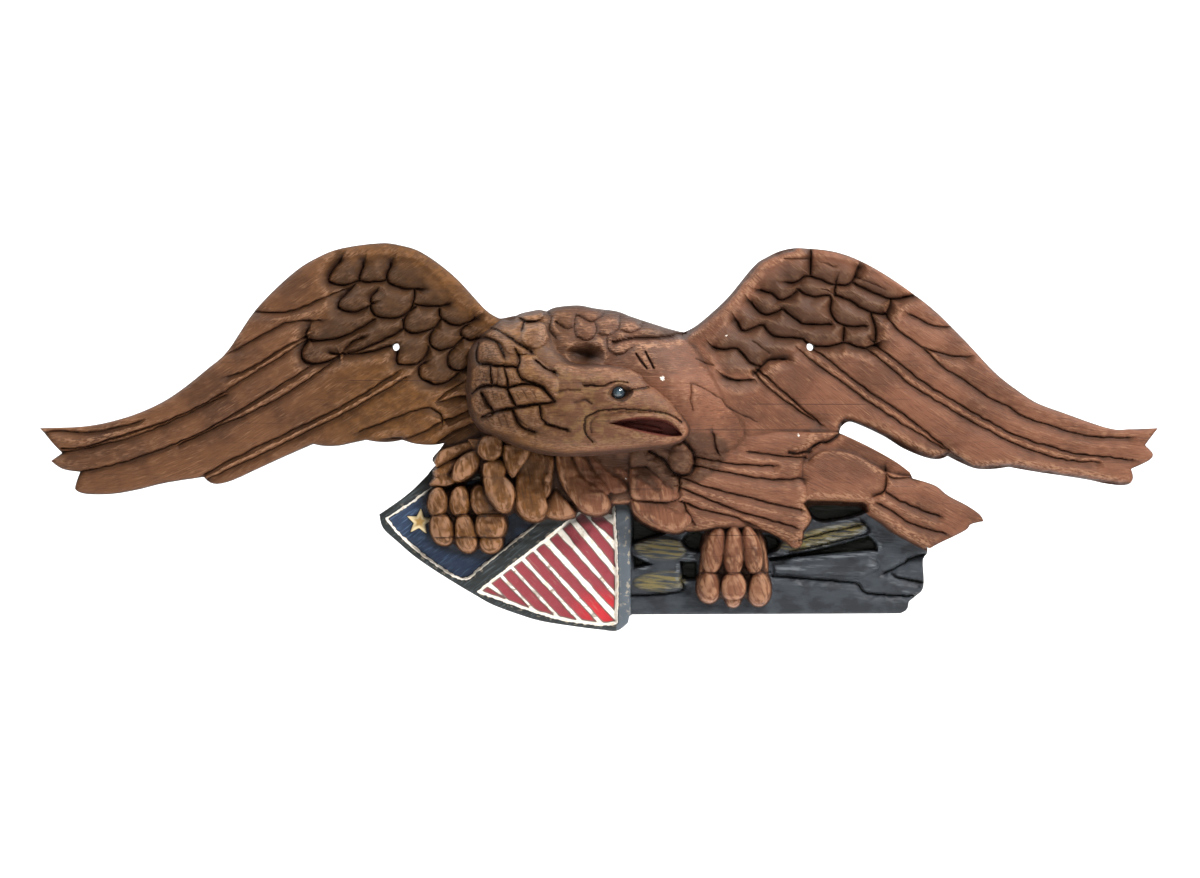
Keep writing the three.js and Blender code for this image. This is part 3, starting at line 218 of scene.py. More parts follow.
def lie(u: np.ndarray, v: np.ndarray, turn: float = 0.0, flow: Stroke = ()) -> tuple[np.ndarray, np.ndarray]:
    """Measures how far places lie along and across the feathers' direction.

    Args:
        u: the places, mm to the right.
        v: the places, mm down.
        turn: the direction's turn from the sheet's right, degrees clockwise.
        flow: a line from left to right that the feathers run beside, where they bend.

    Returns:
        The distances along and across, mm.
    """
    if flow:
        return u, v - np.interp(u, *zip(*flow))
    angle = math.radians(turn)
    return u * math.cos(angle) + v * math.sin(angle), v * math.cos(angle) - u * math.sin(angle)


def pillow(distance: np.ndarray, reach: float) -> np.ndarray:
    """Returns how far a rounded form has risen, 0 at its edge to 1 at its reach, as a quarter circle."""
    return np.sqrt(1 - (1 - np.clip(distance / reach, 0, 1)) ** 2)


def soften(raster: np.ndarray, radius: int) -> np.ndarray:
    """Blurs a raster with three passes of a box.

    Args:
        raster: the values.
        radius: the box's half width in grid steps.

    Returns:
        The blurred values.
    """
    for axis in (0, 1) * 3:
        pad = [(radius + 1, radius) if side == axis else (0, 0) for side in (0, 1)]
        run = np.cumsum(np.pad(raster, pad, mode="edge"), axis=axis)
        size = raster.shape[axis]
        high = np.take(run, np.arange(2 * radius + 1, 2 * radius + 1 + size), axis=axis)
        low = np.take(run, np.arange(size), axis=axis)
        raster = (high - low) / (2 * radius + 1)
    return raster


def unevenness(shape: tuple[int, int], cell: Point, seed: int) -> np.ndarray:
    """Makes smooth seeded unevenness, as hand tools leave.

    Args:
        shape: rows and columns of the raster.
        cell: how long one swell is along v and along u, in grid steps.
        seed: which unevenness it is.

    Returns:
        Values between -1 and 1.
    """
    spots = [np.arange(size) / step for size, step in zip(shape, cell)]
    lattice = np.random.default_rng(seed).uniform(-1, 1, [int(spot[-1]) + 2 for spot in spots])
    whole = [spot.astype(int) for spot in spots]
    part = [spot - base for spot, base in zip(spots, whole)]
    (ease_v, ease_u) = (share * share * (3 - 2 * share) for share in part)
    upper = lattice[whole[0]][:, whole[1]] * (1 - ease_u) + lattice[whole[0]][:, whole[1] + 1] * ease_u
    lower = lattice[whole[0] + 1][:, whole[1]] * (1 - ease_u) + lattice[whole[0] + 1][:, whole[1] + 1] * ease_u
    return upper * (1 - ease_v[:, None]) + lower * ease_v[:, None]


# The relief: one depth for each point of the sheet

@dataclass(frozen=True)
class Cut:
    """One kind of V groove: its size, how the wood beside it is eased down, its lap, its stain and its shade."""

    width: float = 4.0
    depth: float = 3.0
    soft: float = 0.0
    reach: float = 10.0
    lap: float = 0.0
    stain: float = 0.8
    shade: float = 0.0


class Relief:
    """The carved front on a grid, with what the finishes need to know of each place."""

    def __init__(self) -> None:
        """Starts with bare wall: no wood anywhere."""
        self.rows = round((SHEET.bottom - SHEET.top) / SHEET.grid) + 1
        self.columns = round((SHEET.right - SHEET.left) / SHEET.grid) + 1
        us = SHEET.left + np.arange(self.columns) * SHEET.grid
        vs = SHEET.top + np.arange(self.rows) * SHEET.grid
        self.u, self.v = np.meshgrid(us, vs)
        self.depth = np.zeros(self.u.shape)
        self.mask = np.full(self.u.shape, -1e3)
        self.wood = np.ones(self.u.shape)
        self.line = np.zeros(self.u.shape)
        self.soil_and_shade = np.zeros(self.u.shape)
        self.along, self.across = lie(self.u, self.v)
        wobble = [0.7 * unevenness(self.u.shape, (6 / SHEET.grid, 6 / SHEET.grid), seed) for seed in (21, 22)]
        self.hand_u, self.hand_v = self.u + wobble[0], self.v + wobble[1]

    def window(self, points: np.ndarray, margin: float) -> tuple[slice, slice]:
        """Finds the part of the grid round some points.

        Args:
            points: the places that it holds.
            margin: how much wider it is, mm.

        Returns:
            The slices of rows and of columns.
        """
        low = (np.min(points, axis=0) - margin - (SHEET.left, SHEET.top)) / SHEET.grid
        high = (np.max(points, axis=0) + margin - (SHEET.left, SHEET.top)) / SHEET.grid
        rows = slice(max(0, math.floor(low[1])), min(self.rows, math.ceil(high[1]) + 1))
        columns = slice(max(0, math.floor(low[0])), min(self.columns, math.ceil(high[0]) + 1))
        return rows, columns

    def build_up(self, points: np.ndarray, surface: object, crown: float = 2.0, reach: float = 5.0,
                 wall: float = 7.0, outer: bool = False, wood: bool = True, turn: float = 0.0,
                 flow: Stroke = (), coarse: float = 1.0) -> None:
        """Builds the wood up to a form whose edge is rounded over.

        Args:
            points: the form's closed outline.
            surface: its depth, as one number or a function of u and v.
            crown: how far the rounding drops at the edge, mm.
            reach: how far in the rounding runs, mm.
            wall: how steeply the form's edge falls, mm for each mm across.
            outer: whether the form is part of the plaque's outline.
            wood: whether it is the eagle's stained wood, not painted.
            turn: the direction of its feathers, degrees clockwise.
            flow: the line that its feathers run beside, where they bend.
            coarse: how much broader than on the wings its grain is.
        """
        at = self.window(points, 8 if outer else 12)
        u, v = self.u[at], self.v[at]
        distance = inside_distance(u, v, points)
        face = surface(u, v) if callable(surface) else surface
        rounded = face - crown * (1 - pillow(distance, reach))
        if outer:
            self.mask[at] = np.maximum(self.mask[at], distance)
        rounded = rounded + wall * np.minimum(0, distance)
        higher = rounded > self.depth[at]
        self.wood[at] = np.where(higher, float(wood), self.wood[at])
        self.line[at] = np.where(higher & (distance > 0), 0.0, self.line[at])
        self.soil_and_shade[at] = np.where(higher & (distance > 0), 0.0, self.soil_and_shade[at])
        along, across = (measure / coarse for measure in lie(u, v, turn, flow))
        self.along[at] = np.where(higher, along, self.along[at])
        self.across[at] = np.where(higher, across, self.across[at])
        self.depth[at] = np.maximum(self.depth[at], rounded)

    def darken(self, points: np.ndarray, amount: float, reach: float) -> None:
        """Darkens inside an outline: stain and dirt gathering there, and painted shade.

        Args:
            points: the closed outline.
            amount: how dark it gets, 0 to 1.
            reach: how far in it reaches its full darkness, mm.
        """
        at = self.window(points, 2)
        distance = inside_distance(self.u[at], self.v[at], points)
        self.soil_and_shade[at] = np.maximum(self.soil_and_shade[at], amount * np.clip(distance / reach, 0, 1))

    def chisel(self, points: np.ndarray, amount: float, cell: float, seed: int) -> None:
        """Leaves the creased facets of a gouge inside an outline.

        Args:
            points: the closed outline.
            amount: how deep the facets are, mm.
            cell: how large they are, mm.
            seed: which set of facets it is.
        """
        at = self.window(points, 2)
        distance = inside_distance(self.u[at], self.v[at], points)
        facets = np.abs(unevenness(self.u.shape, (cell / SHEET.grid, cell / SHEET.grid), seed)[at])
        self.depth[at] += amount * (facets - 0.5) * np.clip(distance / 4, 0, 1)

    def swell(self, points: np.ndarray, height: float, crown: float = 3.0, reach: float = 6.0) -> None:
        """Raises a form that follows the wood under it.

        Args:
            points: the form's closed outline.
            height: how proud it stands, mm.
            crown: how far its rounding drops at the edge, mm.
            reach: how far in the rounding runs, mm.
        """
        at = self.window(points, 2)
        distance = inside_distance(self.u[at], self.v[at], points)
        self.depth[at] += np.where(distance > 0, height - crown * (1 - pillow(distance, reach)), 0)

    def sink(self, points: np.ndarray, floor: object, wall: float = 7.0) -> None:
        """Cuts the wood down inside an outline to a floor.

        Args:
            points: the cut's closed outline.
            floor: its depth, as one number or a function of u and v.
            wall: how steeply its sides fall, mm for each mm across.
        """
        at = self.window(points, 2)
        u, v = self.u[at], self.v[at]
        distance = inside_distance(u, v, points)
        level = floor(u, v) if callable(floor) else floor
        cut = np.maximum(level, self.depth[at] - wall * distance)
        self.depth[at] = np.where(distance > 0, np.minimum(self.depth[at], cut), self.depth[at])

    def scribe(self, strokes: tuple[Stroke, ...], cut: Cut, smooth: bool = True) -> None:
        """Cuts V grooves along strokes. A stroke's right hand, as it is drawn, is the lapped, lower side.

        Args:
            strokes: the lines to cut.
            cut: the kind of groove.
            smooth: whether each line is drawn as a smooth curve.
        """
        far = max(cut.width, cut.reach)
        nearest = np.full(self.u.shape, far)
        lower = np.zeros(self.u.shape)
        for stroke in strokes:
            line = curve(stroke, 4.0) if smooth else np.asarray(stroke, dtype=float)
            for (au, av), (bu, bv) in zip(line[:-1], line[1:]):
                at = self.window(np.array([(au, av), (bu, bv)]), far)
                u, v = self.hand_u[at] - au, self.hand_v[at] - av
                du, dv = bu - au, bv - av
                t = np.clip((u * du + v * dv) / (du * du + dv * dv or 1.0), 0, 1)
                distance = np.hypot(u - t * du, v - t * dv)
                closer = distance < nearest[at]
                nearest[at] = np.where(closer, distance, nearest[at])
                lower[at] = np.where(closer, du * v - dv * u > 0, lower[at])
        groove = cut.depth * np.maximum(0, 1 - 2 * nearest / cut.width)
        eased = cut.soft * np.maximum(0, 1 - nearest / cut.reach) ** 2
        lapped = cut.lap * lower * np.maximum(0, 1 - nearest / far)
        self.depth -= groove + eased + lapped
        self.line = np.maximum(self.line, cut.stain * np.clip(1 - 2 * nearest / cut.width, 0, 1))
        # Painted shade on each groove's lapped, lower side, fading away from the groove.
        self.soil_and_shade = np.maximum(self.soil_and_shade, cut.shade * lower * np.maximum(0, 1 - nearest / far))

    def sample(self, raster: np.ndarray, u: np.ndarray, v: np.ndarray) -> np.ndarray:
        """Reads a raster at places on the sheet, between its grid points.

        Args:
            raster: one value for each grid point.
            u: the places, mm to the right.
            v: the places, mm down.

        Returns:
            The value at each place.
        """
        x = np.clip((u - SHEET.left) / SHEET.grid, 0, self.columns - 1.001)
        y = np.clip((v - SHEET.top) / SHEET.grid, 0, self.rows - 1.001)
        column, row = x.astype(int), y.astype(int)
        s, t = x - column, y - row
        upper = raster[row, column] * (1 - s) + raster[row, column + 1] * s
        lower = raster[row + 1, column] * (1 - s) + raster[row + 1, column + 1] * s
        return upper * (1 - t) + lower * t


# The main masses

@dataclass(frozen=True)
class Mass:
    """One main mass of the slab: its outline, the depths of its face and how its edge is rounded over."""

    edge: tuple[Stroke, ...]
    levels: tuple[Level, ...]
    crown: float
    reach: float
    wall: float = 3.0
    wood: bool = True
    turn: float = 0.0
    flow: Stroke = ()

    def shape(self) -> np.ndarray:
        """Returns the closed outline."""
        return outline(*self.edge)

    def carve(self, relief: Relief) -> None:
        """Builds the mass up."""
        relief.build_up(self.shape(), Plate(self.levels), self.crown, self.reach, self.wall, True, self.wood,
                        self.turn, self.flow)


LEFT_WING = Mass(
    edge=(
        ((41, 428), (88, 426), (125, 418), (156, 406), (181, 391), (210, 368), (229, 351), (258, 309), (294, 274),
         (319, 258), (343, 249), (380, 244), (401, 246), (424, 254), (455, 277), (486, 310), (500, 319)),
        ((500, 319), (540, 330), (540, 470), (470, 470)),
        ((470, 470), (452, 478), (440, 484), (433, 477)),
        ((433, 477), (437, 466), (433, 459), (441, 449), (445, 443)),
        ((445, 443), (434, 445), (417, 444), (403, 440)),
        ((403, 440), (391, 442), (379, 442), (367, 440)),
        ((367, 440), (353, 443), (338, 446), (324, 446), (314, 444)),
        ((314, 444), (282, 458), (258, 469), (234, 480), (219, 484), (210, 482), (205, 477)),
        ((205, 477), (166, 483), (137, 490), (113, 494), (88, 494), (77, 490), (77, 484), (81, 472)),
        ((81, 472), (64, 469), (52, 461)),
        ((52, 461), (63, 453)),
        ((63, 453), (52, 441), (41, 428)),
    ),
    levels=((45, 430, 20), (85, 488, 20), (125, 450, 23), (205, 470, 23), (205, 385, 26), (300, 440, 30),
            (300, 345, 37), (262, 312, 30), (370, 250, 34), (370, 330, 47), (435, 268, 40), (430, 350, 50),
            (440, 450, 40), (490, 325, 46), (500, 400, 44)),
    crown=5, reach=8,
    flow=((34, 449), (88, 446), (120, 436), (156, 425), (206, 403), (256, 372), (309, 340), (540, 196)),
)
RIGHT_WING = Mass(
    edge=(
        ((683, 333), (696, 326), (715, 310), (730, 295), (753, 267), (766, 258), (782, 251), (801, 249), (839, 254),
         (877, 271), (925, 304), (960, 337), (993, 372), (1017, 391), (1036, 403), (1060, 412), (1107, 428),
         (1130, 429), (1157, 428)),
        ((1157, 428), (1144, 445)),
        ((1144, 445), (1152, 454), (1147, 461), (1130, 469)),
        ((1130, 469), (1132, 478), (1126, 485), (1107, 484), (1083, 479), (1036, 472), (1008, 467)),
        ((1008, 467), (993, 469), (977, 469), (963, 464), (947, 456)),
        ((947, 456), (939, 459), (927, 458), (904, 449), (883, 436), (857, 424), (847, 422), (840, 427), (838, 433)),
        ((838, 433), (800, 470), (700, 470)),
        ((700, 470), (660, 400), (683, 333)),
    ),
    levels=((1150, 435, 19), (1125, 480, 19), (1040, 440, 25), (940, 440, 29), (1000, 385, 26), (900, 292, 31),
            (860, 355, 44), (800, 255, 40), (800, 300, 49), (760, 335, 57), (810, 400, 47), (845, 425, 40),
            (720, 350, 74), (700, 400, 86), (760, 440, 58), (690, 345, 62), (700, 450, 74), (740, 285, 48)),
    crown=5, reach=8,
    flow=((660, 174), (871, 341), (921, 381), (967, 409), (1009, 432), (1051, 446), (1099, 455), (1166, 460)),
)
TAIL = Mass(
    edge=(
        ((838, 433), (845, 436), (868, 447), (893, 461), (908, 472)),
        ((908, 472), (911, 478)),
        ((911, 478), (933, 485), (946, 495), (965, 505), (978, 514), (982, 521)),
        ((982, 521), (969, 524), (965, 529), (952, 536), (939, 542), (928, 548)),
        ((928, 548), (908, 537), (893, 528), (882, 519), (871, 511), (862, 501)),
        ((862, 501), (847, 500), (816, 499), (800, 502)),
        ((800, 502), (770, 480), (780, 440), (838, 433)),
    ),
    levels=((790, 470, 50), (850, 445, 46), (850, 495, 50), (900, 500, 45), (950, 515, 38), (978, 520, 34),
            (928, 542, 38)),
    crown=4, reach=8, turn=27,
)
BELLY = Mass(
    edge=(
        ((629, 455), (640, 440), (700, 430), (838, 433)),
        ((838, 433), (815, 444), (805, 453), (801, 475), (806, 490), (805, 505), (808, 519), (801, 530)),
        ((801, 530), (799, 544), (793, 546), (784, 539), (770, 531), (755, 528)),
        ((755, 528), (727, 527), (697, 528), (672, 528), (658, 522), (640, 512), (629, 500)),
        ((629, 500), (629, 455)),
    ),
    levels=((635, 480, 62), (660, 515, 58), (700, 440, 76), (700, 490, 68), (700, 525, 58), (760, 445, 61),
            (760, 490, 62), (755, 525, 54), (798, 455, 54), (800, 520, 54), (793, 542, 48)),
    crown=7, reach=11, wall=7, turn=13,
)
BACK = Mass(
    edge=(
        ((496, 320), (512, 320), (519, 315), (530, 312), (543, 311)),
        ((543, 311), (547, 312)),
        ((547, 312), (556, 308), (578, 306), (595, 309), (617, 312), (633, 318), (667, 329), (684, 333)),
        ((684, 333), (735, 370), (740, 450), (640, 478), (490, 450), (480, 350), (496, 320)),
    ),
    levels=((500, 325, 48), (560, 310, 50), (620, 316, 52), (680, 334, 54), (600, 345, 82), (560, 350, 74),
            (580, 362, 76), (640, 350, 92), (662, 372, 104), (692, 400, 102), (710, 440, 80), (735, 400, 72),
            (540, 420, 66), (600, 440, 62), (660, 460, 64), (490, 440, 46)),
    crown=9, reach=12,
)
SHIELD = Mass(
    edge=(
        ((470, 455), (439, 464), (427, 476), (414, 489), (399, 501), (380, 514)),
        ((380, 514), (384, 528), (399, 542), (414, 555), (434, 569), (458, 584), (475, 594), (493, 604), (517, 613),
         (540, 620), (570, 625), (601, 629), (617, 630), (628, 622)),
        ((628, 622), (630, 612)),
        ((630, 612), (630, 490)),
        ((630, 490), (600, 455), (470, 455)),
    ),
    levels=((382, 514, 27), (440, 470, 31), (470, 590, 29), (540, 540, 36), (625, 500, 34), (625, 625, 29)),
    crown=2, reach=4, wood=False,
)
ARROW_BLOCK = Mass(
    edge=(
        ((626, 478), (880, 478)),
        ((880, 478), (926, 548)),
        ((926, 548), (926, 554), (922, 560), (923, 583), (920, 592)),
        ((920, 592), (908, 601)),
        ((908, 601), (906, 609), (899, 613)),
        ((899, 613), (632, 614)),
        ((632, 614), (626, 618)),
        ((626, 618), (626, 478)),
    ),
    levels=((640, 500, 25), (640, 610, 24), (780, 555, 26), (900, 610, 22), (920, 560, 22), (900, 510, 27)),
    crown=2, reach=4, wood=False,
)
MASSES = (ARROW_BLOCK, SHIELD, LEFT_WING, RIGHT_WING, TAIL, BELLY, BACK)


# The wings

@dataclass(frozen=True)
class Wings:
    """Both wings' feathers: small coverts cut as scales, and long quills cut as V lines."""

    left_coverts: tuple[Stroke, ...] = (
        ((342, 261), (334.5, 271), (330.5, 278.5), (333.5, 283.5), (346, 285), (361, 281)),
        ((365, 265), (361, 276), (361, 280.5), (371, 282.5), (387, 281)),
        ((392.5, 265), (388, 276), (390, 283.5), (403, 288.5), (420, 289.5)),
        ((356, 286.5), (344.5, 297), (339, 304.5), (341, 309), (353.5, 312.5), (366, 309), (372.5, 303.5)),
        ((378, 292), (372.5, 298.5), (372.5, 309.5), (378, 316), (390.5, 318.5), (405.5, 316), (413.5, 305.5)),
        ((310, 330), (307.5, 335.5), (311, 339.5), (326, 340), (343.5, 337.5), (361, 329), (375.5, 320)),
        ((404.5, 321), (405.5, 329.5), (390.5, 338), (378, 344.5), (358.5, 352.5), (341, 355), (332, 354.5)),
        ((310, 342), (305, 348), (303.5, 355.5), (308.5, 362), (320, 363), (333.5, 359.5), (343.5, 353)),
        ((346, 349.5), (353.5, 342), (363.5, 337)),
        ((346, 355), (372, 352), (392, 345)),
        ((400, 352), (398, 360.5), (403, 364.5), (418.5, 363.5), (426.5, 355.5), (429.5, 347)),
        ((415.5, 290), (416.5, 296), (413.5, 305.5)),
        ((415.5, 304), (426.5, 306.5), (441, 306.5), (447.5, 304.5)),
        ((416.5, 308.5), (410, 313), (406, 320.5), (406, 329), (414.5, 333), (426.5, 332), (436.5, 326.5), (442, 320)),
        ((441, 310.5), (442, 316.5), (449, 323.5), (459, 325.5), (467.5, 323.5), (475.5, 318.5)),
        ((434.5, 330), (431.5, 337), (432.5, 345), (439, 350), (447, 349), (457, 345), (463.5, 338)),
        ((468.5, 326.5), (462, 331), (463.5, 337.5), (471.5, 340), (478.5, 339)),
        ((455, 349), (449, 355.5), (449, 363.5), (453, 368.5), (461, 370.5), (469.5, 365.5), (471.5, 357.5)),
        ((426.5, 363.5), (420.5, 367.5), (421.5, 375.5), (426.5, 381), (439, 384), (449, 381), (459, 373.5)),
    )
    right_coverts: tuple[Stroke, ...] = (
        ((787, 283), (795, 283), (806, 277), (823.5, 282), (833, 285), (850, 283.5), (856, 268)),
        ((810, 253), (809, 276)),
        ((852, 283), (866, 290), (880, 296), (891, 299), (909.5, 296)),
        ((835, 284), (834, 295), (849, 300.5), (860, 308.5), (872, 313), (884, 314), (888, 305), (889, 299)),
        ((760, 291), (771, 294), (780, 301), (795, 293)),
        ((781, 309), (795, 320), (802, 324), (815.5, 325), (829, 324)),
        ((798, 291), (810, 297), (829, 297), (829, 310), (834, 320), (841, 325), (852, 326.5), (862.5, 326)),
        ((750, 303.5), (760, 314), (772, 314), (779, 310)),
        ((736, 323), (743, 332), (760, 325), (767, 332), (775, 337), (795, 338), (802, 340)),
        ((870.5, 314), (873, 323.5), (875, 330), (874, 342)),
        ((802, 340), (812, 346), (837, 345), (843, 342), (854, 346), (866, 348), (875, 344)),
        ((843, 328), (842, 342)),
        ((713, 347), (719, 350), (734, 349)),
        ((736, 350), (749, 362.5), (760, 367)),
        ((783, 361), (768, 361), (755, 374)),
        ((724, 377), (730.5, 380), (747, 380)),
    )
    nicks: tuple[Stroke, ...] = (
        ((783, 260), (807, 260)),
        ((818, 263), (835, 268)),
        ((854, 278), (868, 283), (884, 290)),
        ((751, 342), (768, 354)),
        ((695, 360), (703, 364), (711, 366.5)),
        ((820, 290), (826, 292), (834, 297)),
    )
    left_quills: tuple[Stroke, ...] = (
        ((65, 448), (88, 446), (120, 436), (156, 425), (206, 403), (256, 372), (309, 340)),
        ((43, 432), (57, 430.5), (80, 431.5), (98, 431), (117, 427.5), (140, 421)),
        ((60, 451.5), (80, 449), (104.5, 444), (142, 434), (184, 415.5), (226, 395)),
        ((80, 471), (116, 464), (156, 451), (206, 430), (256, 401), (309, 368)),
        ((180, 445), (215, 428), (256, 410), (295, 389), (331, 364)),
        ((206, 473), (231, 460), (272, 440), (300, 427), (350, 402), (398, 373)),
        ((209, 478), (247, 461), (300, 435), (355, 408), (408, 377)),
        ((259, 312), (289, 312), (316, 302), (345, 290)),
        ((236, 350), (269, 332), (291, 322), (321, 320)),
        ((230, 376), (252, 368), (282, 350), (308, 336)),
        ((361, 431), (379, 424), (400, 416), (418.5, 409.5), (432.5, 407.5), (442, 414.5), (443.5, 422.5)),
        ((443.5, 420.5), (455, 416.5), (469.5, 410.5)),
        ((388, 438), (408, 437), (424.5, 431), (441, 422.5)),
        ((441, 440), (455, 431), (471.5, 424.5)),
        ((439, 400), (451, 390), (464.5, 382)),
        ((441, 402), (455, 397), (471.5, 395)),
    )
    right_quills: tuple[Stroke, ...] = (
        ((884, 314), (889, 322), (896.5, 330), (909.5, 339.5), (925, 351), (944, 368.5), (967, 382.5), (986, 396),
         (1007, 406.5), (1026.5, 418), (1047.5, 424.5), (1070.5, 431.5), (1095, 436), (1126, 437)),
        ((921, 347), (940, 353), (952, 356), (965, 356)),
        ((909.5, 315), (918, 319), (929, 325), (944, 327)),
        ((871.5, 341.5), (879, 349), (898, 363.5), (921, 381.5), (944, 396), (967, 409.5), (986, 420), (1009, 432.5),
         (1032, 441), (1051, 446.5), (1070.5, 452.5), (1099, 455.5), (1130, 459)),
        ((868.5, 352), (888.5, 367), (909.5, 384.5), (936.5, 401), (963, 417), (990, 431.5), (1020.5, 446.5),
         (1040, 452.5), (1063, 459), (1095, 461.5)),
        ((813, 350), (835, 366), (860, 385.5), (883, 401), (908, 418), (929, 434.5), (946, 448.5), (963, 460)),
        ((800.5, 352), (818, 366), (841, 382), (860, 396), (879, 408.5), (902, 424), (921, 435), (940, 446.5),
         (948, 450.5)),
        ((755, 375), (766, 387), (783, 400), (800.5, 412), (813, 420)),
        ((759, 372), (778, 388), (795, 403), (817, 421)),
    )
    hairlines: tuple[Stroke, ...] = (
        ((689, 384), (703, 390), (714, 397), (722.5, 401.5), (723, 405.5), (740, 415), (756, 422)),
        ((690, 385), (689, 400), (691.5, 411)),
    )
    beds: tuple[Stroke, ...] = (
        ((325, 262), (365, 255), (420, 262), (462, 303), (490, 325), (482, 348), (472, 376), (440, 392), (412, 370),
         (390, 362), (350, 362), (306, 368), (300, 345), (318, 322), (328, 300), (325, 262)),
        ((768, 268), (800, 256), (856, 264), (908, 296), (888, 320), (880, 346), (860, 354), (812, 352), (782, 362),
         (750, 380), (718, 372), (710, 345), (732, 315), (768, 268)),
    )
    leading_edge: Stroke = ((684, 333), (715, 310), (730, 295), (753, 267), (766, 258), (790, 250))
    slot_edge: Stroke = ((840, 427), (847, 422), (883, 436), (927, 458), (947, 456), (977, 469), (1008, 467),
                         (1083, 479), (1126, 485))
    scale_cut: Cut = Cut(width=2.5, depth=1.8, soft=6.5, reach=13.0, lap=3.4, stain=0.5, shade=1.0)
    nick_cut: Cut = Cut(width=2.0, depth=1.4, soft=1.0, reach=5.0, stain=0.4)
    quill_cut: Cut = Cut(width=2.0, depth=1.5, soft=2.0, reach=11.0, lap=2.8, stain=0.36, shade=0.5)
    fine_cut: Cut = Cut(width=1.7, depth=0.7, stain=0.2)
    fine_gap: float = 3.4
    long_quills: int = 7

    def carve(self, relief: Relief) -> None:
        """Cuts the feathers of both wings."""
        for bed in self.beds:
            face = soften(relief.depth, 4)
            relief.sink(curve(bed, 5.0)[:-1], lambda u, v, face=face: relief.sample(face, u, v) - 1.5, 0.4)
            # The covert beds darken inwards: stain and painted shade.
            relief.darken(curve(bed, 5.0)[:-1], 0.8, 14)
        relief.scribe(self.left_coverts + self.right_coverts, self.scale_cut)
        long_ones = self.left_quills[:self.long_quills] + self.right_quills[:self.long_quills]
        relief.scribe(tuple(tuple((u, v + self.fine_gap) for u, v in quill) for quill in long_ones), self.fine_cut)
        relief.scribe(self.nicks + self.hairlines, self.nick_cut)
        relief.scribe(self.left_quills + self.right_quills, self.quill_cut)
        relief.scribe((self.leading_edge,), Cut(width=1, depth=0, soft=8, reach=10, stain=0))
        relief.scribe((self.slot_edge,), Cut(width=1, depth=0, soft=8, reach=6, stain=0))


# The body

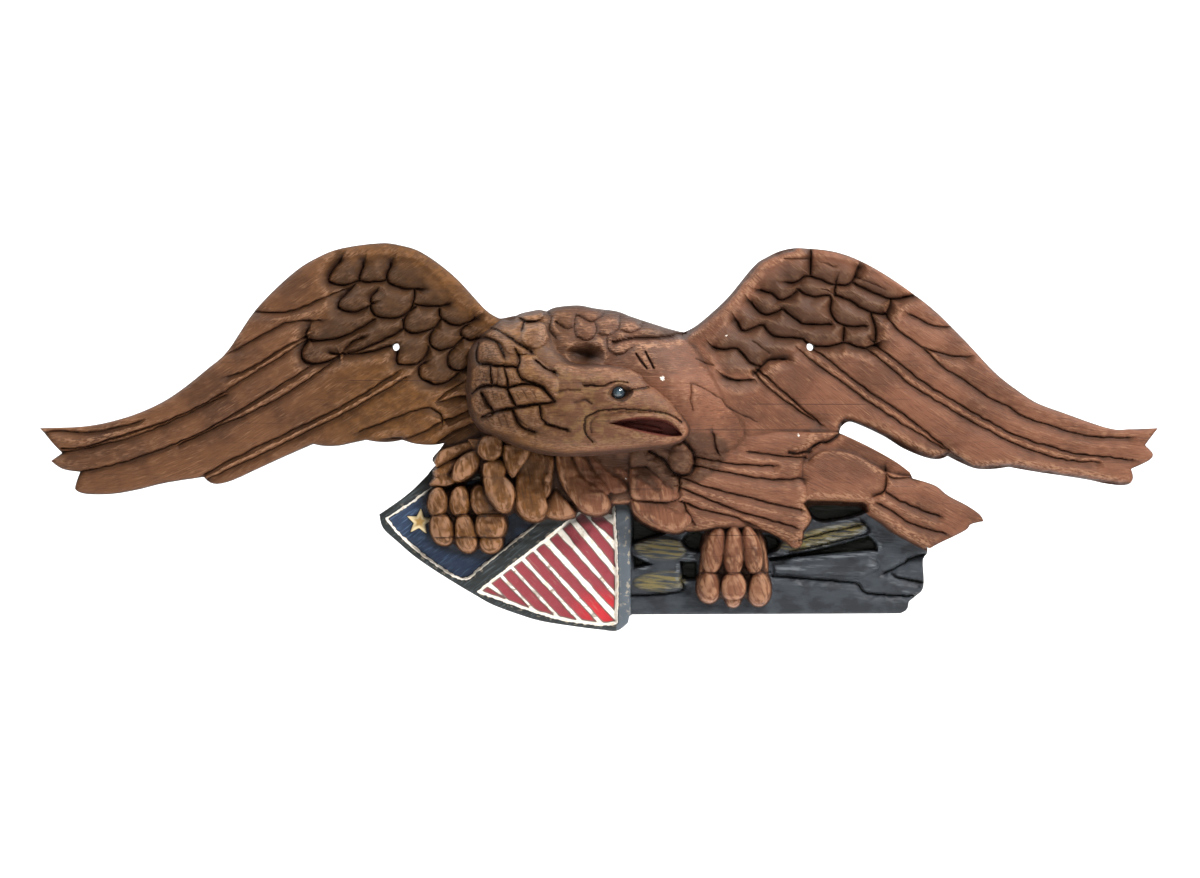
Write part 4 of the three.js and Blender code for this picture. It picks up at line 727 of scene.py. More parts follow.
@dataclass(frozen=True)
class Body:
    """The belly and leg feathers, the tail and the hollow of the nape."""

    belly_lines: tuple[Stroke, ...] = (
        ((678, 485.5), (700, 495), (736.5, 509.5), (780, 522), (794.5, 526.5)),
        ((680.5, 500), (700, 507.5), (729, 514.5), (748.5, 522), (765.5, 531.5)),
        ((677, 475.5), (697.5, 483), (741, 495), (799.5, 509.5)),
        ((695, 465), (722, 471), (765.5, 478), (799.5, 478)),
        ((697.5, 456.5), (731.5, 463.5), (770.5, 465)),
        ((748.5, 451.5), (777.5, 455), (804, 457.5)),
        ((712, 433.5), (714.5, 446.5), (717, 451.5)),
        ((656.5, 503.5), (671, 514.5), (680.5, 519.5)),
        ((682, 500), (690.5, 517), (695, 524)),
        ((630.5, 496), (651.5, 499), (673.5, 499), (678, 488), (677, 476)),
        ((630, 469), (644, 466), (659, 478), (671, 491)),
    )
    thigh: Stroke = ((649, 451), (663.5, 459.5), (671.5, 471.5), (685.5, 474.5), (692, 467.5), (692, 453.5),
                     (681.5, 438))
    tail_lines: tuple[Stroke, ...] = (
        ((883, 490.5), (894, 497.5), (915.5, 507.5), (936, 515)),
        ((877, 502.5), (893, 512), (908.5, 522), (942.5, 532.5)),
        ((884, 470), (883, 489), (872, 497)),
        ((884, 470), (889, 477), (911, 478)),
    )
    tail_notch: tuple[Stroke, ...] = (
        ((840, 432), (870, 445), (912, 470)),
        ((912, 470), (912, 478)),
        ((912, 478), (886, 474), (850, 455), (822, 452), (806, 462)),
        ((806, 462), (806, 452)),
        ((806, 452), (840, 432)),
    )
    pits: tuple[Stroke, ...] = (
        ((788, 452), (795, 453), (805, 452)),
        ((805, 452), (815, 444), (828, 441), (839, 433)),
    )
    nape_lines: tuple[Stroke, ...] = (
        ((547, 312), (552, 320), (550, 330), (556, 338)),
        ((558, 324), (566, 330), (574, 326), (577, 316), (590, 322), (600, 318), (605, 310)),
        ((574, 326), (577, 338), (588, 341), (596, 334), (594, 322)),
        ((596, 334), (608, 337), (618, 330), (619, 319)),
        ((618, 330), (630, 334), (641, 328), (640, 321)),
        ((608, 337), (608, 350), (618, 356), (630, 350)),
    )
    far_shoulder: Stroke = ((633, 318), (667, 329), (684, 333), (672, 339), (650, 341), (634, 342), (640, 330), (633, 318))
    shoulder_line: Stroke = ((614, 344), (630, 341), (662, 339), (684, 334))
    hollow: tuple[float, ...] = (586, 356, 40, 26, 8)
    hollow_floor: tuple[Level, ...] = ((574, 348, 66), (586, 366, 62), (602, 352, 68), (590, 344, 72))
    brow_slits: tuple[Stroke, ...] = (((635.5, 355.5), (646, 370.5)), ((644, 353.5), (653, 369.5)))
    feather_cut: Cut = Cut(width=2.2, depth=1.7, soft=3.0, reach=10.0, lap=2.4, stain=0.42, shade=0.5)

    def carve(self, relief: Relief) -> None:
        """Cuts the belly, the tail and the nape."""
        relief.chisel(BACK.shape(), 1.1, 12, 31)
        relief.darken(curve(self.far_shoulder, 4.0)[:-1], 0.6, 4)
        relief.scribe(self.nape_lines, Cut(width=2.4, depth=0.8, soft=2.6, reach=10, lap=1.2, stain=0.16, shade=0.3))
        relief.scribe((self.shoulder_line,), Cut(width=3, depth=1.0, soft=8, reach=10, stain=0.3))
        relief.scribe(self.brow_slits, Cut(width=3, depth=4.5, stain=0.9))
        relief.sink(petal(*self.hollow), Plate(self.hollow_floor), 1.0)
        # Painted shade in the hollow of the nape.
        relief.darken(petal(*self.hollow), 0.75, 9)
        relief.swell(petal(680, 458, 30, 26, 80), 7, 8, 11)
        relief.scribe(self.belly_lines, self.feather_cut)
        relief.scribe((self.thigh,), Cut(width=2.6, depth=2.4, soft=4.5, reach=8, stain=0.5))
        relief.sink(outline(*self.tail_notch), Plate(((810, 455, 45), (860, 452, 42), (905, 474, 38))), 3)
        relief.scribe(self.tail_lines, self.feather_cut)
        relief.scribe(self.pits, Cut(width=3, depth=3, soft=3, reach=6, stain=0.6))


@dataclass(frozen=True)
class Lobe:
    """One rounded breast or leg feather: its outline, its depth and how much its lower end stands out."""

    edge: Stroke
    depth: float
    lift: float = 4.0

    def carve(self, relief: Relief) -> None:
        """Builds the feather up, its tip standing further out than its root, with dirt and painted shade about its
        root.
        """
        shape = curve(self.edge + self.edge[:1], 3.0)[:-1]
        low, high = shape[:, 1].min(), shape[:, 1].max()

        def face(u: np.ndarray, v: np.ndarray) -> np.ndarray:
            """Returns the feather's face, which rises towards its tip."""
            return self.depth + self.lift * ((v - low) / (high - low) - 0.5)

        relief.build_up(shape, face, 5, 6.5, wall=7, turn=80, coarse=3.2)
        root = shape * (1, 0.5) + (0, 0.5 * low - 2)
        # Dirt and painted shade where the feather's root tucks under the one above.
        relief.darken(root, 0.55, 7)


@dataclass(frozen=True)
class Foot:
    """One clenched foot: its palm and the beads of its toes, each with its own height."""

    palm: Stroke
    palm_depth: float
    beads: tuple[tuple[tuple[float, ...], float], ...]

    def carve(self, relief: Relief) -> None:
        """Builds the palm up, then each toe joint as a rounded bead on it."""
        palm = curve(self.palm, 4.0)[:-1]
        relief.build_up(palm, self.palm_depth, 9, 9, turn=90)
        # The palm darkens between the toes: dirt and painted shade.
        relief.darken(palm, 0.6, 5)
        for place, height in self.beads:
            relief.build_up(petal(*place), height, 9, min(place[2:4]) / 2, wall=7, turn=70, coarse=3.2)


@dataclass(frozen=True)
class BreastAndFeet:
    """The fan of breast feathers under the jaw and the two feet."""

    bed: Stroke = ((470, 440), (700, 430), (720, 470), (640, 500), (560, 500), (500, 490), (470, 440))
    lobes: tuple[Lobe, ...] = (
        Lobe(((600, 450), (612, 455), (624, 464), (634, 474), (632, 486), (618, 478), (606, 466)), 57),
        Lobe(((585, 450), (597, 455), (608, 469), (624, 481), (627, 490), (612, 493), (600, 483), (589, 467)), 59),
        Lobe(((571, 450), (583, 454), (593, 469), (607, 484), (609, 494), (598, 491), (583, 479), (575, 466)), 62),
        Lobe(((556, 452), (568, 452), (576, 465), (584, 477), (600, 487), (609.5, 500), (606, 509.5), (596, 512.5),
              (583, 509), (572, 499), (562, 484), (557, 468)), 65),
        Lobe(((556, 488), (563, 496), (571, 506), (573.5, 514), (560, 517), (547, 514), (546, 503), (551, 495)), 63),
        Lobe(((544, 455), (551, 454), (554.5, 461), (553, 478), (551, 492), (546, 498), (541.5, 488), (541, 472)), 66),
        Lobe(((526, 450), (541, 452), (547, 461), (543.5, 480), (546, 497), (548, 508), (541, 517.5), (529, 517),
              (519, 508), (515.5, 494), (517, 478), (520, 465)), 69, 6),
        Lobe(((505, 446), (514, 442), (531, 445), (529, 457), (521, 468), (514, 477), (508, 470), (504, 456)), 73),
        Lobe(((435, 463), (441, 452), (455, 446), (478, 440), (490, 440), (485, 449), (462, 455), (448, 462),
              (438, 467)), 51, 2),
        Lobe(((435, 471), (448, 462), (459, 459), (457, 467), (447, 475), (437, 477)), 50, 2),
        Lobe(((432, 484), (437, 477), (450, 472), (459, 475), (456, 482.5), (443, 486)), 50, 2),
        Lobe(((454, 474), (457, 463), (467, 454), (479, 451), (482, 460), (475, 472), (462, 480), (455, 479)), 62, 3),
        Lobe(((485, 464), (493, 459), (503, 460), (507.5, 468), (504, 478), (494, 481), (486, 475)), 72, 3),
        Lobe(((486, 478), (496, 473), (506, 476), (514.5, 486), (515.5, 498), (510, 508), (502, 510), (495, 504),
              (488, 493)), 75, 5),
        Lobe(((480, 446), (486, 438), (497, 436), (503, 443), (503, 453), (496, 460), (486, 459), (480, 453)), 72, 2),
        Lobe(((630, 498), (650, 500), (672, 502), (688, 512), (690, 522), (676, 530), (655, 524), (636, 512)), 60, 1),
        Lobe(((629, 468), (644, 464), (660, 474), (674, 486), (680, 496), (668, 501), (648, 500), (631, 496)), 63, 2),
    )
    feet: tuple[Foot, ...] = (
        Foot(((440, 492), (470, 486), (494, 492), (502, 520), (497, 542), (476, 544), (450, 536), (436, 522),
              (433, 502), (440, 492)), 44,
             (((439.8, 501.5, 30, 19.5, 90), 54), ((461, 501, 31, 21.5, 90), 57), ((484, 500.5, 33, 25, 68), 61),
              ((443.5, 527, 34, 22.5, 75), 54), ((467, 531, 40, 22.5, 80), 57), ((491, 523, 33, 30, 90), 62),
              ((491.5, 538, 27, 22, 90), 57))),
        Foot(((708, 524), (752, 524), (766, 556), (764, 590), (744, 596), (720, 596), (702, 590), (700, 562),
              (708, 524)), 42,
             (((714, 549, 50, 20.5, 101), 55), ((750, 549, 50, 20.5, 79), 55), ((732.5, 550, 52, 20.5, 90), 57),
              ((708.5, 585, 32, 21.5, 90), 54), ((758, 587, 34, 21.5, 90), 54), ((732.5, 598, 15, 13, 90), 50),
              ((732.5, 584, 29, 25, 90), 58))),
    )
    creases: tuple[Stroke, ...] = (
        ((431, 514.5), (450, 514), (474, 514), (503, 513.5)),
        ((436, 537), (460, 536.5), (503, 536.5)),
        ((698, 572), (722, 573), (744, 573), (769, 572)),
    )

    def carve(self, relief: Relief) -> None:
        """Builds up the breast and the feet and cuts the creases of the toes."""
        bed = curve(self.bed, 4.0)[:-1]
        relief.build_up(bed, 57, 6, 10)
        # The breast bed darkens between the feathers and under the jaw: dirt and painted shade.
        relief.darken(bed, 0.8, 4)
        for part in self.lobes + self.feet:
            part.carve(relief)
        for number, form in enumerate((self.bed, *(foot.palm for foot in self.feet))):
            relief.chisel(curve(form, 4.0)[:-1], 1.6, 8, 40 + number)
        relief.scribe(self.creases, Cut(width=1.4, depth=0.9, soft=0.6, reach=4, stain=0.5))


# The shield and the arrows

@dataclass(frozen=True)
class Shield:
    """The shield: a raised frame round a blue canton with a star and a field of slanting stripes."""

    canton: tuple[Stroke, ...] = (
        ((434, 486), (412, 502), (387, 518)),
        ((387, 518), (400, 534), (428, 558), (457, 577), (469, 578)),
        ((469, 578), (502, 551), (549, 515)),
        ((549, 515), (500, 478), (434, 486)),
    )
    stripes: tuple[Stroke, ...] = (
        ((478, 591), (517, 561), (549, 536), (580, 511)),
        ((580, 511), (613, 490)),
        ((613, 490), (617, 560), (617, 622)),
        ((617, 622), (601, 624), (559, 618), (520, 606), (478, 591)),
    )
    star_place: Point = (420.5, 521.5)
    star_radius: float = 13.5
    star_waist: float = 5.8
    bars: tuple[Stroke, ...] = (
        ((484, 590), (501, 600)), ((496, 579), (524, 608)), ((506, 570), (549, 616)), ((517, 562), (571, 620)),
        ((529, 554), (592, 623)), ((540, 545), (611, 623)), ((554, 536), (618, 607)), ((567, 526), (618, 587)),
        ((581, 517), (618, 562)), ((596, 517), (618, 536)), ((611, 508), (612, 509)),
    )
    bar_half: float = 4.8
    white_edge: float = 2.6
    floor: tuple[Level, ...] = ((390, 515, 24), (440, 475, 27), (470, 580, 25), (540, 540, 31), (615, 500, 30),
                                (615, 620, 26))

    def star(self) -> np.ndarray:
        """Returns the outline of the five-pointed star."""
        angles = np.radians(-84 + 36 * np.arange(10))
        radii = np.where(np.arange(10) % 2 == 0, self.star_radius, self.star_waist)
        return np.column_stack([self.star_place[0] + radii * np.cos(angles),
                                self.star_place[1] + radii * np.sin(angles)])

    def red(self, relief: Relief) -> np.ndarray:
        """Measures how far each place lies inside a red stripe.

        Args:
            relief: the grid.

        Returns:
            The distance in mm, positive inside a stripe.
        """
        nearest = np.full(relief.u.shape, 99.0)
        for (au, av), (bu, bv) in self.bars:
            du, dv = bu - au, bv - av
            t = np.clip(((relief.u - au) * du + (relief.v - av) * dv) / (du * du + dv * dv), 0, 1)
            nearest = np.minimum(nearest, np.hypot(relief.u - au - t * du, relief.v - av - t * dv))
        field_inside = inside_distance(relief.u, relief.v, outline(*self.stripes))
        wobble = 0.5 * unevenness(relief.u.shape, (7, 7), 5)
        return np.minimum(self.bar_half - nearest, field_inside - self.white_edge) + wobble

    def carve(self, relief: Relief) -> None:
        """Sinks the two fields, cuts round the stripes and raises the star."""
        for edge in (self.canton, self.stripes):
            relief.sink(outline(*edge), Plate(self.floor), 3)
        red = self.red(relief)
        relief.depth -= 0.9 * np.clip(red + 0.5, 0, 1) * (red > -0.5)
        star = self.star()
        middle = float(relief.sample(relief.depth, *(np.array([value]) for value in self.star_place))[0])
        relief.build_up(star, middle + 2.4, 1.6, 5, wall=5, wood=False)
        relief.line *= inside_distance(relief.u, relief.v, star) < -1


@dataclass(frozen=True)
class Arrows:
    """The block of arrows: dark recesses between two pairs of flights, the shafts and a long arrowhead."""

    recesses: tuple[tuple[tuple[Stroke, ...], float], ...] = (
        ((((631, 504), (668, 533)), ((668, 533), (631, 545)), ((631, 545), (631, 504))), 9),
        ((((632, 554), (654, 564)), ((654, 564), (633, 569)), ((633, 569), (632, 554))), 11),
        ((((679, 560), (698, 560)), ((698, 560), (698, 580)), ((698, 580), (680, 580)), ((680, 580), (679, 560))), 10),
        ((((800, 503), (812, 498), (862, 500), (868, 512)), ((868, 512), (840, 520), (815, 521), (800, 503))), 11),
        ((((767, 557), (820, 547), (868, 534)), ((868, 534), (876, 542), (877, 551)), ((877, 551), (769, 561)),
          ((769, 561), (767, 557))), 10),
    )
    pits: tuple[tuple[float, ...], ...] = ((695, 541, 28, 22, 0), (764, 543, 34, 20, 0))
    pit_floor: float = 9.0
    shaft: tuple[Stroke, ...] = (
        ((770, 563), (868, 556)),
        ((868, 556), (877, 561), (878, 569), (861, 577)),
        ((861, 577), (773, 574)),
        ((773, 574), (770, 563)),
    )
    shaft_depth: float = 30.0
    flights: tuple[tuple[float, ...], ...] = ((660, 548, 54, 24, 4), (660, 581, 56, 22, -3), (820, 537, 96, 20, -14))
    lines: tuple[Stroke, ...] = (
        ((772, 575), (810, 578), (853, 582), (862, 590), (874, 593), (911, 595), (921, 592)),
        ((884, 572), (902, 563), (908, 558), (925, 554)),
        ((891, 573), (897, 577), (922, 582)),
        ((790, 551), (847, 538), (868, 532), (861, 521)),
        ((631, 595), (679, 591), (681, 581)),
        ((797, 540), (830, 531), (858, 525)),
    )

    def carve(self, relief: Relief) -> None:
        """Cuts the recesses, then the flights, the shaft and the arrowhead's lines."""
        for flight in self.flights:
            relief.swell(petal(*flight), 2.5, 2.5, 7)
        for edge, floor in self.recesses:
            relief.sink(outline(*edge), floor, 5)
        for pit in self.pits:
            relief.sink(petal(*pit), self.pit_floor, 5)
        relief.build_up(outline(*self.shaft), self.shaft_depth, 7, 10, wood=False)
        relief.scribe(self.lines, Cut(width=3, depth=2.4, soft=2, reach=8, lap=2.2, stain=0.5))


# The head

@dataclass(frozen=True)
class Head:
    """The head and neck, which stand free of the breast below the jaw: a form with a front and a back."""

    edge: Stroke = (
        (468, 372), (470, 350), (482, 336), (492, 325), (503, 319), (512, 320), (519, 315), (530, 312), (543, 311),
        (549, 322), (556, 340), (566, 356), (578, 364), (600, 364), (626, 367), (640, 373), (655, 385), (668, 397),
        (678, 410), (687, 424), (689, 432), (684, 439), (672, 445), (646, 450), (612, 454), (574, 456.5), (545, 454.5),
        (520, 448), (495, 438), (480, 429), (470, 413), (467, 392), (468, 372),
    )
    front: tuple[Level, ...] = (
        (600, 373, 114), (626, 373, 112), (562, 378, 110), (617, 384, 124), (590, 400, 122), (632, 398, 125),
        (570, 415, 124), (592, 436, 120), (640, 412, 124), (650, 441, 118), (682, 431, 110), (664, 397, 112),
        (645, 381, 110), (674, 411, 112), (530, 388, 112), (502, 400, 98), (482, 395, 82), (474, 372, 72),
        (500, 352, 86), (530, 338, 82), (548, 330, 74), (505, 327, 62), (540, 315, 56), (512, 430, 92),
        (536, 438, 104), (484, 424, 78), (556, 350, 84), (612, 430, 122),
    )
    rim: tuple[Level, ...] = (
        (612, 454, 84), (574, 456.5, 80), (545, 454.5, 74), (500, 440, 60), (480, 429, 52), (468, 390, 44),
        (484, 334, 40), (505, 320, 36), (543, 311, 38), (556, 340, 50), (575, 362, 62), (600, 364, 68),
        (640, 373, 90), (668, 397, 98), (689, 430, 92), (672, 445, 92), (646, 450, 90),
    )
    rounding: float = 17.0
    back_depth: float = 48.0
    back_rounding: float = 22.0
    mouth: tuple[Stroke, ...] = (
        ((608, 423.5), (622, 419.5), (640, 417), (655, 418), (667, 421), (676, 428), (681.5, 435)),
        ((681.5, 435), (673, 437), (657, 436), (640, 432.5), (626, 428.5), (608, 423.5)),
    )
    mouth_floor: float = 94.0
    tongue: tuple[float, ...] = (640, 427, 46, 6, 9)
    neck_tiles: tuple[Stroke, ...] = (
        ((481, 336), (491, 327), (499, 328.5), (515, 342), (533, 354), (522, 356), (509, 354), (502, 345), (492, 340)),
        ((478.5, 345), (487, 341.5), (496, 342), (503, 350), (506, 358), (505, 366), (490, 363.5), (480, 360)),
        ((474, 369), (482, 366), (498, 368), (498, 385.5), (487, 386), (475, 390), (471, 380)),
        ((500, 368.5), (517, 370), (523, 380), (521, 385), (510, 386.5), (500, 385.5)),
        ((472, 395), (480, 391), (486, 397), (494, 411), (489, 416), (478, 413), (472, 404)),
        ((485, 390), (497, 387), (507, 388.5), (515.5, 405), (510, 407.5), (496, 411)),
        ((510, 389), (524, 385.5), (540, 389), (553, 402), (538, 403), (518, 405.5)),
        ((490, 418), (500, 412), (513, 410), (520, 420), (531, 428), (524, 437), (508, 434), (494, 428)),
        ((516, 410), (538, 405.5), (542, 412), (546, 424), (534, 428), (522, 420)),
        ((520, 358), (533, 356), (546, 366), (555, 374), (560, 386), (556, 399), (543, 387), (526, 381), (519, 370)),
        ((522, 335), (528, 325), (542, 324), (550, 334), (546, 346), (534, 350), (524, 344)),
        ((516, 319), (524, 314), (541, 312), (546, 316), (540, 321), (528, 323)),
    )
    neck_scales: tuple[Stroke, ...] = (
        ((471.5, 344), (481.5, 339), (494, 341), (502, 349), (506, 357.5)),
        ((485.5, 329), (496, 330), (510, 339), (532.5, 353.5)),
        ((479.5, 345), (478.5, 357.5), (483.5, 364.5), (518.5, 368.5)),
        ((517.5, 351), (521, 360), (519.5, 373.5), (524.5, 380), (541, 386), (556, 402)),
        ((473.5, 394), (481.5, 387), (492, 385), (508, 388), (522.5, 385), (538, 385.5)),
        ((484.5, 416.5), (498, 410.5), (514.5, 407.5), (534.5, 404.5), (555, 402)),
        ((493, 365.5), (493, 378), (494, 386)),
        ((506, 368.5), (509, 378), (510, 388)),
        ((484, 394), (489, 403), (495.5, 411.5)),
        ((508.5, 388), (512, 396), (517, 405)),
        ((541, 406.5), (543, 418.5), (551, 424.5), (567.5, 429)),
        ((514.5, 316.5), (530.5, 323.5), (547, 320.5)),
        ((522.5, 331), (524.5, 322.5)),
        ((547, 311.5), (551, 320.5), (551, 333)),
        ((536.5, 361.5), (547, 369.5), (555, 373.5)),
        ((514.5, 410), (520.5, 422.5), (526.5, 428), (536, 431)),
    )
    hatching: tuple[Stroke, ...] = (
        ((494, 417.5), (496, 424.5)), ((500, 415.5), (503, 426.5)), ((506, 414.5), (510, 426.5)),
        ((493, 391), (496, 399)), ((500, 391), (504, 400)), ((516, 391), (521, 400)), ((523, 390), (529, 399)),
        ((531, 390), (537, 398)), ((487, 346), (490, 352)), ((494, 345), (499, 352)), ((484, 371), (486, 380)),
        ((499, 372), (501, 381)), ((514, 373), (516, 381)),
    )
    brow: Stroke = ((560, 370), (583, 367.5), (604, 367.5), (624, 370), (639, 377))
    face_lines: tuple[Stroke, ...] = (
        ((584, 386), (602, 387), (611, 384.5), (617, 382.5), (627, 384)),
        ((632.5, 390.5), (641, 390), (647, 388.5)),
        ((593, 442), (586, 434), (584, 425), (587, 418), (598, 412), (616.5, 409.5), (641, 410.5), (665.5, 414.5),
         (679, 422)),
    )
    soft_lines: tuple[Stroke, ...] = (
        ((592, 433), (590, 425), (594, 419), (606, 415), (622.5, 413), (645, 413.5), (664, 417)),
        ((557, 394), (566, 391), (580, 392)),
        ((575, 404), (584, 401), (592, 404)),
    )
    nostril: Stroke = ((660, 387.5), (665.5, 397))
    lips: tuple[Stroke, ...] = (
        ((606, 421), (620, 415.5), (650, 413.5), (672, 419), (684, 432)),
        ((684, 432), (676, 427), (667, 420), (650, 417), (630, 418), (606, 421)),
    )
    eye_place: tuple[float, float, float] = (617.5, 394.0, 117.0)
    eye_opening: Stroke = ((607, 396), (611, 388.5), (619, 384.5), (628, 387.5), (633, 392), (629, 399), (620, 403.5),
                           (611, 401))

    def shape(self) -> np.ndarray:
        """Returns the head's closed outline."""
        return outline(self.edge)

    def carve(self) -> tuple[Relief, np.ndarray]:
        """Carves the head.

        Returns:
            The relief of its front, and the depths of its back.
        """
        relief = Relief()
        inside = inside_distance(relief.u, relief.v, self.shape())
        near = inside > -6
        edge = Plate(self.rim)(relief.u, relief.v)
        face = Plate(self.front)(relief.u, relief.v)
        rise = np.maximum(0, face - edge) * pillow(inside, self.rounding)
        relief.mask = inside
        relief.depth = np.where(near, edge + 0.3 + rise, 0)
        for tile in self.neck_tiles:
            relief.swell(curve(tile + tile[:1], 3.0)[:-1], 4.6, 4.6, 10)
        relief.chisel(self.shape(), 0.5, 12, 51)
        relief.scribe((self.brow,), Cut(width=1, depth=0, soft=-5, reach=9, stain=0))
        relief.scribe(self.neck_scales, Cut(width=2.2, depth=1.7, soft=3.0, reach=6, lap=1.8, stain=0.42, shade=0.6))
        relief.scribe(self.hatching, Cut(width=2.0, depth=1.4, stain=0.4))
        relief.scribe(self.face_lines, Cut(width=2.0, depth=1.5, soft=2.2, reach=6, stain=0.42))
        relief.scribe(self.soft_lines, Cut(width=2.6, depth=0.9, soft=1.2, reach=5, stain=0.3))
        relief.scribe((self.nostril,), Cut(width=2.8, depth=3.5, stain=0.9))
        relief.swell(outline(*self.lips), 1.6, 1.6, 3)
        relief.sink(outline(*self.mouth), self.mouth_floor, 7)
        relief.build_up(petal(*self.tongue), self.mouth_floor + 6, 4, 3, wood=True)
        lids = curve(self.eye_opening + self.eye_opening[:1], 2.0)[:-1]
        relief.sink(lids, self.eye_place[2] - 1, 1.8)
        # A dark ring just inside the lids: partly a painted lid line, partly painted shade in the socket round the eye.
        relief.line = np.maximum(relief.line, np.clip(0.6 + inside_distance(relief.u, relief.v, lids), 0, 0.9))
        back = edge - 0.3 - np.maximum(0, edge - self.back_depth) * pillow(inside, self.back_rounding)
        return relief, np.minimum(back, relief.depth - 4 * (inside > 2) - 0.6)


# From the relief to closed meshes

class Operation(Enum):
    """How one solid is combined with another."""

    JOIN = "UNION"
    CUT = "DIFFERENCE"
    KEEP = "INTERSECT"


def closed_mesh(name: str, places: np.ndarray, faces: list[np.ndarray]) -> bpy.types.Object:
    """Makes a mesh object.

    Args:
        name: the object's name.
        places: its vertices in metres, one row each.
        faces: its faces' vertex numbers, in arrays that each hold faces of one size.

    Returns:
        The object, linked to the scene.
    """
    mesh = bpy.data.meshes.new(name)
    mesh.vertices.add(len(places))
    mesh.vertices.foreach_set("co", places.astype(np.float32).ravel())
    sizes = np.concatenate([np.full(len(group), group.shape[1]) for group in faces])
    corners = np.concatenate([group.ravel() for group in faces])
    mesh.loops.add(len(corners))
    mesh.loops.foreach_set("vertex_index", corners.astype(np.int32))
    mesh.polygons.add(len(sizes))
    mesh.polygons.foreach_set("loop_start", np.concatenate([[0], np.cumsum(sizes)[:-1]]).astype(np.int32))
    mesh.update(calc_edges=True)
    piece = bpy.data.objects.new(name, mesh)
    bpy.context.collection.objects.link(piece)
    return piece


def block(name: str, relief: Relief, back: np.ndarray, near: np.ndarray) -> bpy.types.Object:
    """Fills the space between a relief and its back with one closed block.

    Args:
        name: the object's name.
        relief: the front.
        back: the back's depth at each grid point, mm.
        near: the grid points that the block may use.

    Returns:
        The block.
    """
    cells = near[:-1, :-1] & near[1:, :-1] & near[:-1, 1:] & near[1:, 1:]
    used = np.zeros(near.shape, dtype=bool)
    for rows in (slice(None, -1), slice(1, None)):
        for columns in (slice(None, -1), slice(1, None)):
            used[rows, columns] |= cells
    number = np.cumsum(used).reshape(used.shape) - 1
    count = int(used.sum())
    corner = [number[:-1, :-1], number[:-1, 1:], number[1:, 1:], number[1:, :-1]]
    a, b, c, d = (grid[cells] for grid in corner)
    faces = [np.column_stack([a, d, c, b]), np.column_stack([a, b, c, d]) + count]
    ringed = np.pad(cells, 1)
    sides = ((ringed[1:-1, :-2], 3, 0), (ringed[2:, 1:-1], 2, 3), (ringed[1:-1, 2:], 1, 2), (ringed[:-2, 1:-1], 0, 1))
    for beside, start, end in sides:
        open_side = cells & ~beside
        p, q = corner[start][open_side], corner[end][open_side]
        faces.append(np.column_stack([p, q, q + count, p + count]))
    u, v = relief.u[used], relief.v[used]
    front = SHEET.place(u, v, relief.depth[used])
    rear = SHEET.place(u, v, back[used])
    return closed_mesh(name, np.vstack([front, rear]), faces)


def prism(name: str, points: np.ndarray, near_depth: float, far_depth: float) -> bpy.types.Object:
    """Makes an upright prism on an outline.

    Args:
        name: the object's name.
        points: the closed outline on the sheet.
        near_depth: where it starts, mm from the wall.
        far_depth: where it ends, mm from the wall.

    Returns:
        The prism.
    """
    u, v = points.T
    if np.sum(u * np.roll(v, -1) - v * np.roll(u, -1)) > 0:
        u, v = u[::-1], v[::-1]
    count = len(u)
    ring = np.arange(count)
    after = np.roll(ring, -1)
    places = np.vstack([SHEET.place(u, v, np.full(count, depth)) for depth in (far_depth, near_depth)])
    sides = np.column_stack([after, ring, ring + count, after + count])
    return closed_mesh(name, places, [ring[None], ring[::-1][None] + count, sides])


def settle(piece: bpy.types.Object) -> None:
    """Applies a piece's modifiers to its mesh."""
    graph = bpy.context.evaluated_depsgraph_get()
    mesh = bpy.data.meshes.new_from_object(piece.evaluated_get(graph))
    old = piece.data
    piece.modifiers.clear()
    piece.data = mesh
    mesh.name = piece.name
    bpy.data.meshes.remove(old)


def combine(body: bpy.types.Object, tool: bpy.types.Object, operation: Operation) -> None:
    """Combines one solid with another, which is used up.

    Args:
        body: the solid that is kept.
        tool: the other solid.
        operation: how they are combined.
    """
    modifier = body.modifiers.new("combine", "BOOLEAN")
    modifier.operation = operation.value
    modifier.solver = "MANIFOLD"
    modifier.object = tool
    settle(body)
    bpy.data.objects.remove(tool)


def bead(name: str, place: tuple[float, float, float], radius: float, rings: int = 32) -> bpy.types.Object:
    """Makes a round bead.

    Args:
        name: the object's name.
        place: its centre on the sheet and its depth, mm.
        radius: its radius, mm.
        rings: how finely it is made.

    Returns:
        The bead.
    """
    down = np.linspace(0, math.pi, rings + 1)[1:-1]
    round_it = np.linspace(0, 2 * math.pi, 2 * rings, endpoint=False)
    theta, phi = np.meshgrid(down, round_it, indexing="ij")
    x, y, z = np.sin(theta) * np.cos(phi), -np.cos(theta), np.sin(theta) * np.sin(phi)
    centre = SHEET.place(*(np.array(value) for value in place))
    body = np.column_stack([x.ravel(), y.ravel(), z.ravel()])
    places = centre + radius * MM * np.vstack([body, [[0, -1, 0], [0, 1, 0]]])
    grid = np.arange(body.shape[0]).reshape(theta.shape)
    beside = np.roll(grid, -1, axis=1)
    walls = np.column_stack([side.ravel() for side in (grid[:-1], grid[1:], beside[1:], beside[:-1])])
    near_tip, far_tip = np.full((2, 2 * rings), [[len(body)], [len(body) + 1]])
    caps = np.vstack([np.column_stack([near_tip, grid[0], beside[0]]),
                      np.column_stack([far_tip, beside[-1], grid[-1]])])
    return closed_mesh(name, places, [walls, caps])


# The whole carving

